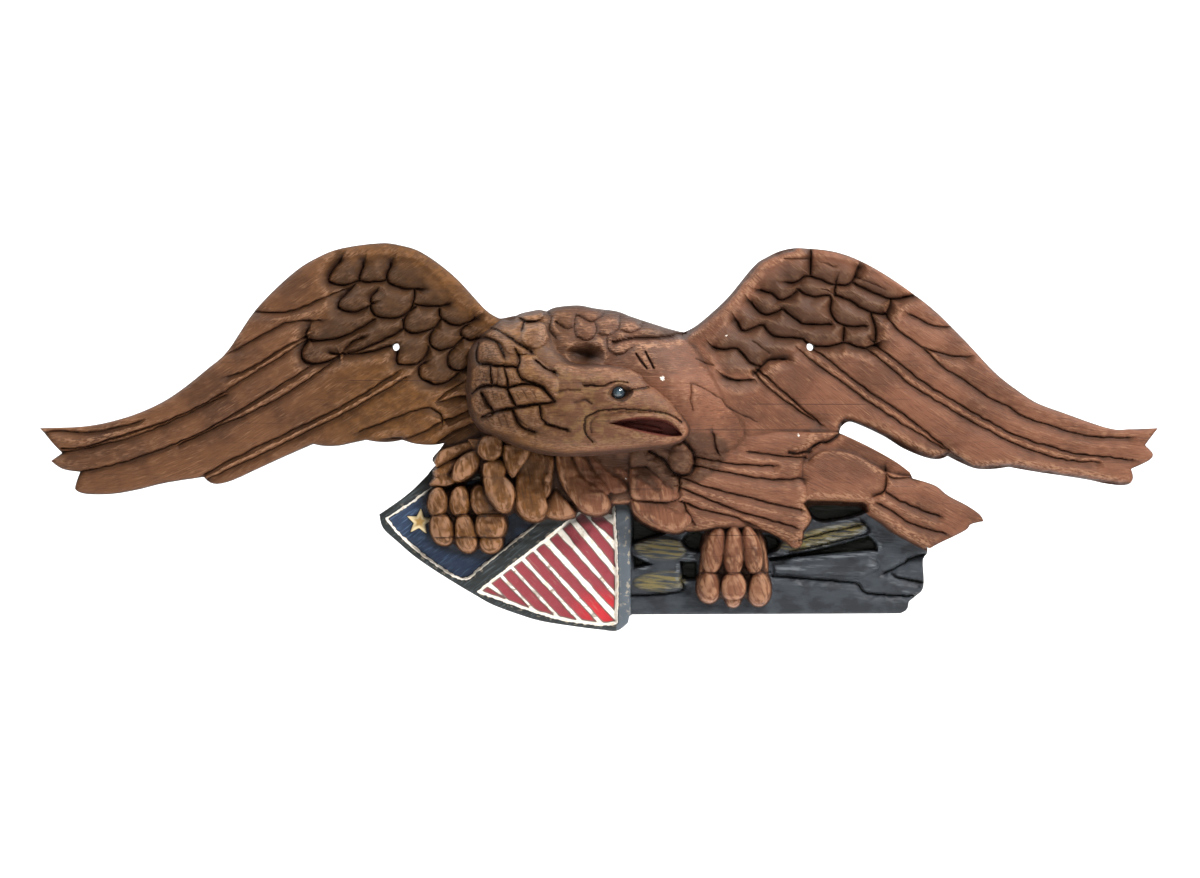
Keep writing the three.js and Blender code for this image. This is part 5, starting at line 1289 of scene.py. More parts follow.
@dataclass(frozen=True)
class EagleCarving:
    """The plaque: slab, head, fixing holes and eye socket as one closed piece of wood."""

    name: str = "carved_eagle"
    wings: Wings = field(default_factory=Wings)
    body: Body = field(default_factory=Body)
    shield: Shield = field(default_factory=Shield)
    arrows: Arrows = field(default_factory=Arrows)
    breast: BreastAndFeet = field(default_factory=BreastAndFeet)
    head: Head = field(default_factory=Head)
    holes: tuple[Point, ...] = ((397.0, 347.5), (809.0, 347.5))
    hole_diameter: float = 7.5
    eye_diameter: float = 14.5
    eye_gap: float = 0.3
    margin: float = 3.0
    tool_marks: float = 0.4
    triangles: int = 188_000
    sharp_angle: float = 58.0

    def slab(self) -> Relief:
        """Carves everything but the head and returns the relief."""
        relief = Relief()
        for mass in MASSES:
            mass.carve(relief)
        for feature in (self.body, self.wings, self.shield, self.arrows, self.breast):
            feature.carve(relief)
        relief.depth += self.tool_marks * unevenness(relief.depth.shape, (5, 11), 3)
        relief.depth += 0.5 * self.tool_marks * unevenness(relief.depth.shape, (2.8, 4), 4)
        return relief

    def cut_out(self, relief: Relief) -> bpy.types.Object:
        """Saws the slab to its outline, down to the flat back.

        Args:
            relief: the carved front.

        Returns:
            The slab.
        """
        slab = block(self.name, relief, np.full(relief.depth.shape, -4.0), relief.mask > -self.margin)
        saw = None
        for mass in MASSES:
            part = prism("saw", mass.shape(), 0.0, 140.0)
            if saw is None:
                saw = part
            else:
                combine(saw, part, Operation.JOIN)
        combine(slab, saw, Operation.KEEP)
        return slab

    def build(self) -> bpy.types.Object:
        """Builds the whole carving and returns it."""
        relief = self.slab()
        carving = self.cut_out(relief)
        face, back = self.head.carve()
        face.depth += self.tool_marks * unevenness(face.depth.shape, (6, 9), 8) * (face.depth > 0)
        head = block("head", face, back, face.mask > -self.margin)
        combine(head, prism("saw", self.head.shape(), 0.0, 160.0), Operation.KEEP)
        combine(carving, head, Operation.JOIN)
        ring = np.linspace(0, 2 * math.pi, 24, endpoint=False)
        for u, v in self.holes:
            circle = np.column_stack([u + self.hole_diameter / 2 * np.cos(ring),
                                      v + self.hole_diameter / 2 * np.sin(ring)])
            combine(carving, prism("drill", circle, -5.0, 150.0), Operation.CUT)
        socket = bead("drill", self.head.eye_place, self.eye_diameter / 2 + self.eye_gap)
        combine(carving, socket, Operation.CUT)
        self.thin_out(carving)
        self.record(carving, relief, face)
        carving.data.shade_smooth()
        carving.data.set_sharp_from_angle(angle=math.radians(self.sharp_angle))
        return carving

    def thin_out(self, carving: bpy.types.Object) -> None:
        """Brings the mesh under its limit of triangles where the surface is plain."""
        before = sum(len(face.vertices) - 2 for face in carving.data.polygons)
        modifier = carving.modifiers.new("thin out", "DECIMATE")
        modifier.use_collapse_triangulate = True
        modifier.ratio = min(1.0, self.triangles / before)
        settle(carving)
        LOG.info("carving thinned from %d to %d triangles", before, len(carving.data.polygons))

    @staticmethod
    def hollow(relief: Relief, radius: int) -> np.ndarray:
        """Measures how far each place of a relief lies below the wood round it, mm."""
        solid = (relief.mask > 0).astype(float)
        round_it = soften(relief.depth * solid, radius) / np.maximum(soften(solid, radius), 1e-3)
        return (round_it - relief.depth) * solid

    def record(self, carving: bpy.types.Object, relief: Relief, face: Relief) -> None:
        """Stores on the mesh what the finishes need to know of each place.

        Args:
            carving: the carving.
            relief: the slab's relief.
            face: the head's relief.
        """
        mesh = carving.data
        places = np.empty(len(mesh.vertices) * 3, dtype=np.float32)
        mesh.vertices.foreach_get("co", places)
        x, y, z = places.reshape(-1, 3).T.astype(float) / MM
        u, v, depth = x + SHEET.mount_u, SHEET.mount_v - z, -y
        on_head = (face.sample(face.mask, u, v) > -0.5) & (depth > relief.sample(relief.depth, u, v) + 0.8)

        def pick(of_slab: np.ndarray, of_head: object) -> np.ndarray:
            """Reads the slab's raster, or the head's on the head."""
            slab_value = relief.sample(of_slab, u, v)
            head_value = face.sample(of_head, u, v) if isinstance(of_head, np.ndarray) else of_head
            return np.where(on_head, head_value, slab_value)

        hollows = [self.hollow(side, 4) for side in (relief, face)]
        broad = [self.hollow(side, 10) for side in (relief, face)]
        grid = (relief.u, relief.v)
        gilt = np.max([inside_distance(*grid, petal(*flight)) for flight in self.arrows.flights], axis=0)
        shield_edge = inside_distance(*grid, SHIELD.shape())
        facts = {
            "wood": pick(soften(relief.wood, 1), 1.0),
            "line": pick(relief.line, face.line),
            "soil_and_shade": pick(relief.soil_and_shade, face.soil_and_shade),
            "along": pick(relief.along, face.along),
            "across": pick(relief.across, face.across),
            "edge": pick(relief.mask, 20.0),
            "hollow": pick(hollows[0], hollows[1]),
            "recess": pick(broad[0], broad[1]),
            "head": pick(np.zeros(relief.u.shape), np.clip(face.mask / 14, 0, 1)),
            "mouth": pick(np.full(relief.u.shape, -9.0), inside_distance(*grid, outline(*self.head.mouth))),
            "canton": pick(inside_distance(*grid, outline(*self.shield.canton)), -20.0),
            "field": pick(inside_distance(*grid, outline(*self.shield.stripes)), -20.0),
            "red": pick(self.shield.red(relief), -20.0),
            "star": pick(inside_distance(*grid, self.shield.star()), -20.0),
            "gilt": pick(gilt, -20.0),
            "shield": pick(shield_edge, -20.0),
        }
        for name, values in facts.items():
            store = mesh.attributes.new(name, "FLOAT", "POINT")
            store.data.foreach_set("value", values.astype(np.float32))


@dataclass(frozen=True)
class GlassEye:
    """The glossy glass bead in its socket, with its iris painted on its back and a painted highlight at its centre."""

    name: str = "glass_eye_bead"
    diameter: float = 14.5
    gaze: tuple[float, float, float] = (0.10, -0.99, 0.06)

    def build(self, place: tuple[float, float, float]) -> bpy.types.Object:
        """Builds the bead.

        Args:
            place: its centre on the sheet and its depth, mm.

        Returns:
            The bead.
        """
        eye = bead(self.name, place, self.diameter / 2, rings=48)
        mesh = eye.data
        spots = np.empty(len(mesh.vertices) * 3, dtype=np.float32)
        mesh.vertices.foreach_get("co", spots)
        spots = spots.reshape(-1, 3) - SHEET.place(*(np.array(value) for value in place))
        spots /= np.linalg.norm(spots, axis=1, keepdims=True)
        axis = np.array(self.gaze) / np.linalg.norm(self.gaze)
        angle = np.degrees(np.arccos(np.clip(spots @ axis, -1, 1)))
        mesh.attributes.new("gaze", "FLOAT", "POINT").data.foreach_set("value", angle.astype(np.float32))
        mesh.shade_smooth()
        return eye


# Finishes

def linear(colour: str) -> tuple[float, float, float, float]:
    """Turns an sRGB hex colour to linear red, green, blue and alpha."""
    parts = [int(colour[i:i + 2], 16) / 255 for i in (1, 3, 5)]
    return (*(part / 12.92 if part <= 0.04045 else ((part + 0.055) / 1.055) ** 2.4 for part in parts), 1.0)


class Bench:
    """A material's node tree, on which a finish is laid out."""

    def __init__(self, name: str) -> None:
        """Starts an empty material."""
        self.material = bpy.data.materials.new(name)
        self.material.use_nodes = True
        self.nodes = self.material.node_tree.nodes
        self.nodes.clear()

    def add(self, kind: str, inputs: dict | None = None, out: int | str = 0, **settings: object) -> object:
        """Adds a node.

        Args:
            kind: the node's type.
            inputs: its sockets by name or number, each with a value or the output linked to it.
            out: the output to return.
            settings: the node's own properties.

        Returns:
            The output socket asked for, or the node where it has none.
        """
        node = self.nodes.new(kind)
        for name, value in settings.items():
            setattr(node, name, value)
        for name, value in (inputs or {}).items():
            if isinstance(value, bpy.types.NodeSocket):
                self.material.node_tree.links.new(value, node.inputs[name])
            else:
                node.inputs[name].default_value = linear(value) if isinstance(value, str) else value
        return node.outputs[out] if node.outputs else node

    def fact(self, name: str) -> object:
        """Reads one of the facts that are stored on the mesh."""
        return self.add("ShaderNodeAttribute", out="Fac", attribute_name=name)

    def over(self, under: object, top: object, factor: object) -> object:
        """Lays one colour over another by a factor and returns the result."""
        return self.add("ShaderNodeMix", {"Factor": factor, 6: under, 7: top}, 2, data_type="RGBA")

    def fade(self, value: object, start: float, end: float, low: float = 0.0, high: float = 1.0) -> object:
        """Fades a value from low at its start to high at its end and returns the result."""
        return self.add("ShaderNodeMapRange", {"Value": value, 1: start, 2: end, 3: low, 4: high},
                        interpolation_type="SMOOTHSTEP")

    def times(self, first: object, second: object) -> object:
        """Multiplies two values and returns the product."""
        return self.add("ShaderNodeMath", {0: first, 1: second}, operation="MULTIPLY")

    def pattern(self, place: object, size: tuple[float, float, float], turn: float = 0.0,
                detail: float = 3.0) -> object:
        """Makes an uneven pattern of a real size.

        Args:
            place: the places, mm.
            size: how large one patch is along X, Y and Z, mm.
            turn: the turn of the pattern about Y, degrees.
            detail: how much finer structure it has.

        Returns:
            The pattern's value, about 0.3 to 0.7.
        """
        laid = self.add("ShaderNodeMapping", {"Vector": place, "Rotation": (0, math.radians(turn), 0), "Scale": size},
                        vector_type="TEXTURE")
        return self.add("ShaderNodeTexNoise", {"Vector": laid, "Scale": 1.0, "Detail": detail, "Roughness": 0.55})


@dataclass(frozen=True)
class StainedWood:
    """Hand-carved wood under a brown oil stain: satin, darker where stain settled in cuts, paler where rubbed, with
    painted shade in places.
    """

    base: str = "#6f4530"
    dark: str = "#583421"
    # left and left_dark: a darker olive tone on the left, partly the stain's own and partly painted shade.
    left: str = "#633f25"
    left_dark: str = "#4d2f1a"
    # golden and golden_pale: the left wing's inner part, partly stain tone and partly painted shade beside the head.
    golden: str = "#52320e"
    golden_pale: str = "#68421a"
    head: str = "#563722"
    head_pale: str = "#6a4f2f"
    nape: str = "#3f2617"
    # neck: painted shade for the neck's left side, which turns away from the light on the right.
    neck: str = "#361d08"
    rubbed: str = "#966e52"
    settled: str = "#2f1b10"
    shaded: str = "#2e1b0a"
    cut: str = "#23130b"
    glue: str = "#2c1810"
    mouth: str = "#6d3b33"
    blotch: float = 42.0
    grain: tuple[float, float, float] = (80.0, 8.0, 1.6)
    fibre: tuple[float, float, float] = (14.0, 4.0, 0.9)
    stroke: tuple[float, float, float] = (5.0, 4.0, 1.6)
    chip: str = "#ded6c8"
    chips: tuple[tuple[float, float, float], ...] = (
        (61.3, -32.6, 2.3), (197.0, -88.0, 1.3), (125.0, 10.0, 1.1), (227.0, -260.0, 1.6),
    )
    glue_lines: tuple[tuple[float, float, float], ...] = (
        (-57.5, 150.0, 265.0), (-83.0, 88.0, 225.0), (-141.5, 28.0, 62.0), (-168.5, -170.0, -92.0),
        (-190.0, -166.0, -92.0), (-187.5, 98.0, 168.0), (-224.5, 97.0, 170.0), (-34.0, -250.0, -110.0),
    )

    def tint(self, bench: Bench, place: object, parts: list[object]) -> object:
        """Lays out the broad colours, partly the stain's own tones and partly painted shade, and returns them.

        Args:
            bench: the material.
            place: the places, mm.
            parts: the X, Y and Z of the places.

        Returns:
            The colour.
        """
        blotch = bench.pattern(place, (self.blotch,) * 3)
        fine = bench.pattern(place, (9.0, 9.0, 7.0))
        colour = bench.over(self.base, self.dark, bench.fade(blotch, 0.38, 0.66))
        # The left side darker and more olive: partly the stain's own tone, partly painted shade from the light on the
        # right.
        left = bench.over(self.left, self.left_dark, bench.fade(blotch, 0.4, 0.64))
        colour = bench.over(colour, left, bench.fade(parts[0], -120.0, -20.0, 1.0, 0.0))
        # The left wing's inner part dark golden: partly the stain's tone, partly painted shade beside the head.
        golden = bench.over(self.golden, self.golden_pale, bench.fade(fine, 0.42, 0.62))
        inner = bench.times(bench.fade(parts[0], -330.0, -210.0), bench.fade(parts[0], -70.0, 10.0, 1.0, 0.0))
        colour = bench.over(colour, golden, bench.times(inner, 0.85))
        pale = bench.over(self.head, self.head_pale, bench.fade(fine, 0.46, 0.62))
        face = bench.times(bench.fact("head"), bench.fade(parts[0], -90.0, -20.0, 0.2, 0.75))
        colour = bench.over(colour, pale, face)
        # The nape and the crown get darker towards the top.
        across_nape = bench.times(bench.fade(parts[0], -75.0, -45.0), bench.fade(parts[0], 55.0, 110.0, 1.0, 0.0))
        colour = bench.over(colour, self.nape, bench.times(across_nape, bench.fade(parts[2], -45.0, -5.0, 0.0, 0.6)))
        # Painted shade: the neck's left side darkens as it turns away from the light on the right.
        shaded_side = bench.times(bench.fact("head"), bench.fade(parts[0], -70.0, -125.0, 0.0, 0.75))
        return bench.over(colour, self.neck, shaded_side)

    def lay(self, bench: Bench, place: object, parts: list[object]) -> tuple[object, object, object]:
        """Lays the finish out.

        Args:
            bench: the material.
            place: the places, mm.
            parts: the X, Y and Z of the places.

        Returns:
            The colour, the roughness and the height of the fine surface.
        """
        colour = self.tint(bench, place, parts)
        along = bench.add("ShaderNodeCombineXYZ", {0: bench.fact("along"), 1: parts[1], 2: bench.fact("across")})
        grain = bench.pattern(place, self.grain, 0.0, 4.0)
        fibre = bench.pattern(along, self.fibre, 0.0, 4.0)
        stroke = bench.pattern(along, self.stroke, 0.0, 2.0)
        pore = bench.pattern(place, (1.5, 1.5, 1.1), 0.0, 2.0)
        colour = bench.over(colour, self.settled, bench.fade(fibre, 0.5, 0.32, 0.0, 0.42))
        colour = bench.over(colour, self.settled, bench.fade(grain, 0.42, 0.3, 0.0, 0.4))
        hollow = bench.fact("hollow")
        recess = bench.fact("recess")
        patches = bench.fade(bench.pattern(place, (26.0, 20.0, 18.0)), 0.42, 0.6, 0.25, 1.0)
        rubbed = bench.times(bench.fade(fibre, 0.54, 0.72), patches)
        colour = bench.over(colour, self.rubbed, bench.times(rubbed, bench.fade(bench.fact("head"), 0.0, 1.0, 0.6, 0.3)))
        crest = bench.times(bench.fade(hollow, -0.2, -1.8), bench.fade(stroke, 0.4, 0.6))
        colour = bench.over(colour, self.rubbed, bench.times(crest, bench.fade(bench.fact("head"), 0.0, 1.0, 0.75, 0.35)))
        # Painted shade, with some dirt: under lapped feathers, in the covert beds, the nape hollow, the breast and
        # round the feet.
        colour = bench.over(colour, self.shaded, bench.times(bench.fact("soil_and_shade"), 0.85))
        # Dirt and painted shade where the wood lies well below the carving round it.
        colour = bench.over(colour, self.settled, bench.fade(recess, 0.6, 7.0, 0.0, 0.6))
        colour = bench.over(colour, self.settled, bench.fade(hollow, 0.15, 2.4, 0.0, 0.7))
        broken = bench.fade(bench.pattern(place, (9.0, 9.0, 9.0)), 0.36, 0.58, 0.25, 1.0)
        colour = bench.over(colour, self.cut, bench.times(bench.fade(bench.fact("line"), 0.08, 0.7, 0.0, 0.85), broken))
        colour = bench.over(colour, self.mouth, bench.fade(bench.fact("mouth"), -0.3, 1.2, 0.0, 0.9))
        for height, start, end in self.glue_lines:
            gap = bench.add("ShaderNodeMath", {0: parts[2], 1: height}, operation="SUBTRACT")
            thin = bench.fade(bench.add("ShaderNodeMath", {0: gap}, operation="ABSOLUTE"), 0.6, 0.2, 0.0, 0.75)
            begun = bench.fade(parts[0], start - 3, start + 3)
            held = bench.times(thin, bench.times(begun, bench.fade(parts[0], end - 3, end + 3, 1.0, 0.0)))
            colour = bench.over(colour, self.glue, held)
        for x, z, radius in self.chips:
            spread = [bench.add("ShaderNodeMath", {0: part, 1: middle}, operation="SUBTRACT")
                      for part, middle in ((parts[0], x), (parts[2], z))]
            away = bench.add("ShaderNodeVectorMath", {0: bench.add("ShaderNodeCombineXYZ", {0: spread[0], 1: spread[1]})},
                             out="Value", operation="LENGTH")
            away = bench.add("ShaderNodeMath", {0: away, 1: bench.fade(pore, 0.3, 0.7, -0.8, 0.8)}, operation="ADD")
            colour = bench.over(colour, self.chip, bench.fade(away, radius, radius - 0.6))
        rough = bench.fade(fibre, 0.3, 0.7, 0.5, 0.68)
        height = bench.add("ShaderNodeMath", {0: fibre, 1: 0.9, 2: bench.times(stroke, 0.8)},
                           operation="MULTIPLY_ADD")
        height = bench.add("ShaderNodeMath", {0: pore, 1: 0.3, 2: height}, operation="MULTIPLY_ADD")
        return colour, rough, height


@dataclass(frozen=True)
class ShieldPaint:
    """Old brushed oil paint on carved wood: matt, thick along the white lines, chipped back at the edges."""

    frame: str = "#282b2b"
    frame_pale: str = "#41474a"
    strip: str = "#565d64"
    worn: str = "#a89c88"
    blue: str = "#2b384e"
    blue_pale: str = "#4b5f7b"
    white: str = "#efe8dc"
    white_old: str = "#c9b79c"
    red: str = "#7f3a41"
    red_bright: str = "#b52d33"
    red_edge: str = "#4e231f"
    star: str = "#e9d3a4"
    star_gold: str = "#b98a3c"
    dark: str = "#14120f"
    brush: tuple[float, float, float] = (22.0, 3.0, 1.6)
    divider_turn: float = -36.0
    stripe_turn: float = 47.0

    def lay(self, bench: Bench, place: object, parts: list[object]) -> tuple[object, object, object]:
        """Lays the finish out.

        Args:
            bench: the material.
            place: the places, mm.
            parts: the X, Y and Z of the places.

        Returns:
            The colour, the roughness and the height of the fine surface.
        """
        uneven = bench.pattern(place, (5.0, 5.0, 5.0), 0.0, 3.0)
        wander = bench.fade(uneven, 0.3, 0.7, -0.6, 0.6)
        brushed = bench.pattern(place, self.brush, self.divider_turn, 4.0)
        along = bench.pattern(place, self.brush, self.stripe_turn, 4.0)
        frame = bench.over(self.frame, self.frame_pale, bench.fade(brushed, 0.5, 0.7))
        on_strip = bench.fade(parts[0], 15.8, 16.8)
        colour = bench.over(frame, self.strip, bench.times(on_strip, 0.85))
        hollow = bench.fact("hollow")
        chipped = bench.times(bench.fade(hollow, -0.5, -1.5), bench.fade(uneven, 0.52, 0.62))
        colour = bench.over(colour, self.worn, bench.times(chipped, 0.6))
        blue = bench.over(self.blue, self.blue_pale, bench.fade(brushed, 0.5, 0.72))
        canton = bench.add("ShaderNodeMath", {0: bench.fact("canton"), 1: wander}, operation="ADD")
        stripes = bench.add("ShaderNodeMath", {0: bench.fact("field"), 1: wander}, operation="ADD")
        white = bench.over(self.white, self.white_old, bench.fade(uneven, 0.5, 0.68, 0.0, 0.7))
        colour = bench.over(colour, self.dark, bench.fade(canton, -2.0, -1.2))
        colour = bench.over(colour, white, bench.fade(canton, -1.1, -0.5))
        colour = bench.over(colour, self.dark, bench.fade(canton, 1.3, 1.7))
        colour = bench.over(colour, blue, bench.fade(canton, 1.9, 2.4))
        colour = bench.over(colour, self.dark, bench.fade(stripes, -2.0, -1.2))
        colour = bench.over(colour, white, bench.fade(stripes, -1.1, -0.5))
        bright = bench.times(bench.fade(parts[0], -40.0, 5.0), bench.fade(parts[2], -235.0, -262.0))
        red = bench.over(self.red, self.red_bright, bench.add("ShaderNodeMath", {0: bright, 1: 0.15},
                                                               operation="ADD"))
        red = bench.over(red, self.worn, bench.fade(along, 0.6, 0.8, 0.0, 0.35))
        colour = bench.over(colour, self.red_edge, bench.fade(bench.fact("red"), -0.9, -0.4, 0.0, 0.9))
        colour = bench.over(colour, red, bench.fade(bench.fact("red"), 0.25, 0.8))
        star = bench.fact("star")
        gold = bench.over(self.star, self.star_gold, bench.fade(star, 1.4, 3.6, 0.0, 0.85))
        colour = bench.over(colour, self.dark, bench.fade(star, -1.5, -0.7, 0.0, 0.9))
        colour = bench.over(colour, gold, bench.fade(star, -0.5, 0.1))
        # Painted shade where the shield lies well below the carving round it.
        colour = bench.over(colour, self.dark, bench.fade(bench.fact("recess"), 2.0, 8.0, 0.0, 0.8))
        rough = bench.fade(brushed, 0.3, 0.7, 0.42, 0.62)
        height = bench.add("ShaderNodeMath", {0: brushed, 1: 0.6, 2: bench.times(uneven, 0.7)},
                           operation="MULTIPLY_ADD")
        return colour, rough, height


@dataclass(frozen=True)
class ArrowPaint:
    """Slate oil paint rubbed with gold on the flights: satin, with near-black painted shade in the recesses, paler on
    worn arrises.
    """

    slate: str = "#34383d"
    slate_dark: str = "#26282c"
    worn: str = "#6f7478"
    gold: str = "#75683c"
    recess: str = "#14170f"
    brush: tuple[float, float, float] = (26.0, 4.0, 2.4)

    def lay(self, bench: Bench, place: object, parts: list[object]) -> tuple[object, object, object]:
        """Lays the finish out.

        Args:
            bench: the material.
            place: the places, mm.
            parts: the X, Y and Z of the places.

        Returns:
            The colour, the roughness and the height of the fine surface.
        """
        brushed = bench.pattern(place, self.brush, 4.0, 4.0)
        patches = bench.pattern(place, (22.0, 22.0, 14.0))
        colour = bench.over(self.slate, self.slate_dark, bench.fade(patches, 0.42, 0.62))
        colour = bench.over(colour, self.worn, bench.fade(brushed, 0.62, 0.8, 0.0, 0.3))
        gilt = bench.times(bench.fade(bench.fact("gilt"), -1.0, 4.0), bench.fade(brushed, 0.38, 0.6))
        colour = bench.over(colour, self.gold, bench.times(gilt, 0.8))
        worn = bench.times(bench.fade(bench.fact("hollow"), -0.6, -1.8), bench.fade(brushed, 0.48, 0.62))
        colour = bench.over(colour, self.worn, bench.times(worn, 0.6))
        # Painted shade, near black, wherever the block lies deeper than about 14 mm.
        colour = bench.over(colour, self.recess, bench.fade(parts[1], -19.0, -14.0))
        colour = bench.over(colour, self.recess, bench.fade(bench.fact("line"), 0.15, 0.75, 0.0, 0.8))
        rough = bench.fade(brushed, 0.3, 0.7, 0.4, 0.6)
        return colour, rough, brushed


@dataclass(frozen=True)
class SawnEdge:
    """The sawn edges, brushed with dark paint, and the flat back, left as planed wood."""

    edge: str = "#2d2926"
    edge_pale: str = "#463a31"
    back: str = "#8a6a4c"
    back_dark: str = "#6d5039"
    kerf: tuple[float, float, float] = (3.0, 30.0, 30.0)
    board: tuple[float, float, float] = (90.0, 20.0, 2.2)

    def lay(self, bench: Bench, place: object) -> tuple[object, object]:
        """Lays the edge's and the back's colours out and returns them."""
        sawn = bench.pattern(place, self.kerf)
        edge = bench.over(self.edge, self.edge_pale, bench.fade(sawn, 0.45, 0.7))
        boards = bench.pattern(place, self.board, 0.0, 5.0)
        back = bench.over(self.back, self.back_dark, bench.fade(boards, 0.4, 0.62))
        return edge, back


@dataclass(frozen=True)
class CarvingFinish:
    """All the finishes of the carving on one material, each where the mesh says it belongs."""

    name: str = "stained and painted carved wood"
    wood: StainedWood = field(default_factory=StainedWood)
    shield: ShieldPaint = field(default_factory=ShieldPaint)
    arrows: ArrowPaint = field(default_factory=ArrowPaint)
    sawn: SawnEdge = field(default_factory=SawnEdge)
    relief_height: float = 0.9

    def make(self) -> bpy.types.Material:
        """Makes the material and returns it."""
        bench = Bench(self.name)
        metres = bench.add("ShaderNodeTexCoord", out="Object")
        place = bench.add("ShaderNodeVectorMath", {0: metres, "Scale": 1 / MM}, operation="SCALE")
        split = bench.nodes.new("ShaderNodeSeparateXYZ")
        bench.material.node_tree.links.new(place, split.inputs[0])
        parts = list(split.outputs)
        wood = self.wood.lay(bench, place, parts)
        shield = self.shield.lay(bench, place, parts)
        arrows = self.arrows.lay(bench, place, parts)
        edge, back = self.sawn.lay(bench, place)
        on_shield = bench.fade(bench.fact("shield"), -1.0, 0.0)
        on_wood = bench.fade(bench.fact("wood"), 0.42, 0.58)
        colour = bench.over(bench.over(arrows[0], shield[0], on_shield), wood[0], on_wood)
        values = []
        for arrow_value, shield_value, wood_value in list(zip(arrows, shield, wood))[1:]:
            paint = bench.add("ShaderNodeMix", {"Factor": on_shield, 2: arrow_value, 3: shield_value})
            values.append(bench.add("ShaderNodeMix", {"Factor": on_wood, 2: paint, 3: wood_value}))
        normal = bench.add("ShaderNodeNewGeometry", out="True Normal")
        facing = bench.nodes.new("ShaderNodeSeparateXYZ")
        bench.material.node_tree.links.new(normal, facing.inputs[0])
        upright = bench.fade(facing.outputs[1], -0.42, -0.3)
        rim = bench.times(upright, bench.fade(bench.fact("edge"), 1.1, 0.5))
        colour = bench.over(colour, edge, rim)
        colour = bench.over(colour, back, bench.fade(facing.outputs[1], 0.85, 0.95))
        bump = bench.add("ShaderNodeBump", {"Height": values[1], "Strength": 0.8,
                                            "Distance": self.relief_height * MM})
        surface = bench.add("ShaderNodeBsdfPrincipled", {"Base Color": colour, "Roughness": values[0],
                                                         "Normal": bump, "IOR": 1.5, "Specular IOR Level": 0.22})
        bench.add("ShaderNodeOutputMaterial", {"Surface": surface})
        return bench.material


@dataclass(frozen=True)
class GlassFinish:
    """A glass eye: clear glossy glass over a painted iris, so it shows sharp highlights."""

    name: str = "painted glass eye"
    painted_highlight: str = "#3c4d56"
    iris: str = "#18232a"
    iris_pale: str = "#2b3a42"
    rim: str = "#0b0f12"

    def make(self, place: tuple[float, float, float]) -> bpy.types.Material:
        """Makes the material.

        Args:
            place: the eye's centre on the sheet and its depth, mm; not used.

        Returns:
            The material.
        """
        bench = Bench(self.name)
        metres = bench.add("ShaderNodeTexCoord", out="Object")
        spot = bench.add("ShaderNodeVectorMath", {0: metres, "Scale": 1 / MM}, operation="SCALE")
        gaze = bench.fact("gaze")
        rays = bench.pattern(spot, (0.7, 0.7, 0.7), 0.0, 2.0)
        iris = bench.over(self.iris, self.iris_pale, bench.fade(rays, 0.42, 0.62))
        # The paler centre is a painted highlight.
        colour = bench.over(self.painted_highlight, iris, bench.fade(gaze, 8.0, 24.0))
        colour = bench.over(colour, self.rim, bench.fade(gaze, 46.0, 60.0))
        surface = bench.add("ShaderNodeBsdfPrincipled", {"Base Color": colour, "Roughness": 0.08, "IOR": 1.52,
                                                         "Coat Weight": 1.0, "Coat Roughness": 0.03})
        bench.add("ShaderNodeOutputMaterial", {"Surface": surface})
        return bench.material


# The studio

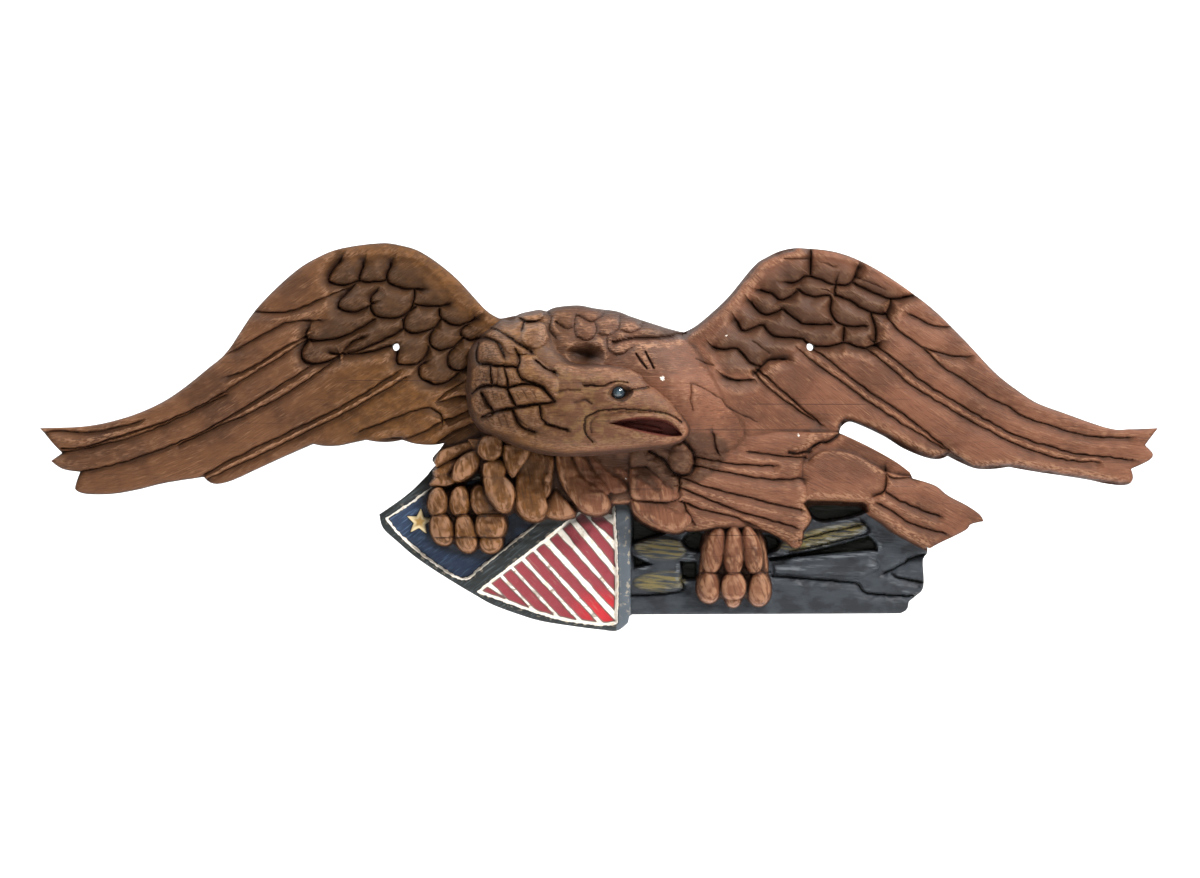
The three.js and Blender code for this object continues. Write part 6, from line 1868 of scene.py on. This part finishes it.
@dataclass(frozen=True)
class Studio:
    """A pale floor and backdrop, soft light from the upper right and a long lens square to the wall."""

    camera_distance: float = 6.0
    camera_height: float = -0.092
    frame_width: float = 1.2
    sensor: float = 36.0
    floor_height: float = -0.75
    backdrop_distance: float = 0.9
    pale: str = "#f4f4f4"

    def camera(self) -> None:
        """Sets the camera up."""
        lens = bpy.data.cameras.new("camera")
        lens.sensor_width = self.sensor
        lens.lens = self.sensor * self.camera_distance / self.frame_width
        lens.clip_end = 50
        camera = bpy.data.objects.new("camera", lens)
        camera.location = (0, -self.camera_distance, self.camera_height)
        camera.rotation_euler = (math.pi / 2, 0, 0)
        bpy.context.collection.objects.link(camera)
        bpy.context.scene.camera = camera

    def light(self, name: str, place: tuple[float, float, float], target: tuple[float, float, float], size: float,
              watts: float, colour: str = "#ffffff") -> None:
        """Hangs one soft light.

        Args:
            name: its name.
            place: where it hangs, metres.
            target: what it points at, metres.
            size: its width, metres.
            watts: its power.
            colour: its colour.
        """
        lamp = bpy.data.lights.new(name, "AREA")
        lamp.size = size
        lamp.energy = watts
        lamp.color = linear(colour)[:3]
        holder = bpy.data.objects.new(name, lamp)
        holder.location = place
        direction = np.array(target) - np.array(place)
        flat = math.hypot(direction[0], direction[1])
        holder.rotation_euler = (math.pi / 2 + math.atan2(direction[2], flat), 0,
                                 math.atan2(-direction[0], direction[1]))
        bpy.context.collection.objects.link(holder)

    def build(self) -> None:
        """Sets the whole studio up."""
        self.camera()
        bench = Bench("matt pale paint")
        surface = bench.add("ShaderNodeBsdfPrincipled", {"Base Color": self.pale, "Roughness": 0.9})
        bench.add("ShaderNodeOutputMaterial", {"Surface": surface})
        low, far = self.floor_height, self.backdrop_distance
        floor = np.array([(-5, -7, low), (5, -7, low), (5, far, low), (-5, far, low)], dtype=float)
        wall = np.array([(-5, far, low), (5, far, low), (5, far, 4), (-5, far, 4)], dtype=float)
        for name, places in (("floor", floor), ("backdrop", wall)):
            sheet = closed_mesh(name, places, [np.array([[0, 1, 2, 3]])])
            sheet.data.materials.append(bench.material)
        self.light("key", (1.6, -2.0, 2.0), (0, 0, -0.1), 0.5, 138)
        self.light("fill", (0.8, -4.0, 0.4), (0, 0, -0.1), 2.4, 10)
        self.light("wall_left", (-1.6, 0.1, 1.6), (-0.6, far, 0), 1.2, 60)
        self.light("wall_right", (1.6, 0.1, 1.6), (0.6, far, 0), 1.2, 60)
        world = bpy.data.worlds.new("room")
        world.use_nodes = True
        background = world.node_tree.nodes["Background"]
        background.inputs["Color"].default_value = linear("#ffffff")
        background.inputs["Strength"].default_value = 0.2
        bpy.context.scene.world = world
        bpy.context.scene.view_settings.view_transform = "Standard"


def main() -> None:
    """Builds the plaque, its eye and the studio, in that order."""
    logging.basicConfig(level=logging.INFO, format="%(name)s: %(message)s")
    plaque = EagleCarving()
    carving = plaque.build()
    carving.data.materials.clear()
    carving.data.materials.append(CarvingFinish().make())
    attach(carving, "root")
    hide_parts("eagle_carving")
    LOG.info("%s has %d triangles", carving.name, len(carving.data.polygons))
    eye_place = plaque.head.eye_place
    eye = GlassEye().build(eye_place)
    eye.data.materials.append(GlassFinish().make(eye_place))
    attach(eye, "root")
    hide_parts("eye")
    LOG.info("%s has %d faces", eye.name, len(eye.data.polygons))
    Studio().build()


if __name__ == "__main__":
    main()
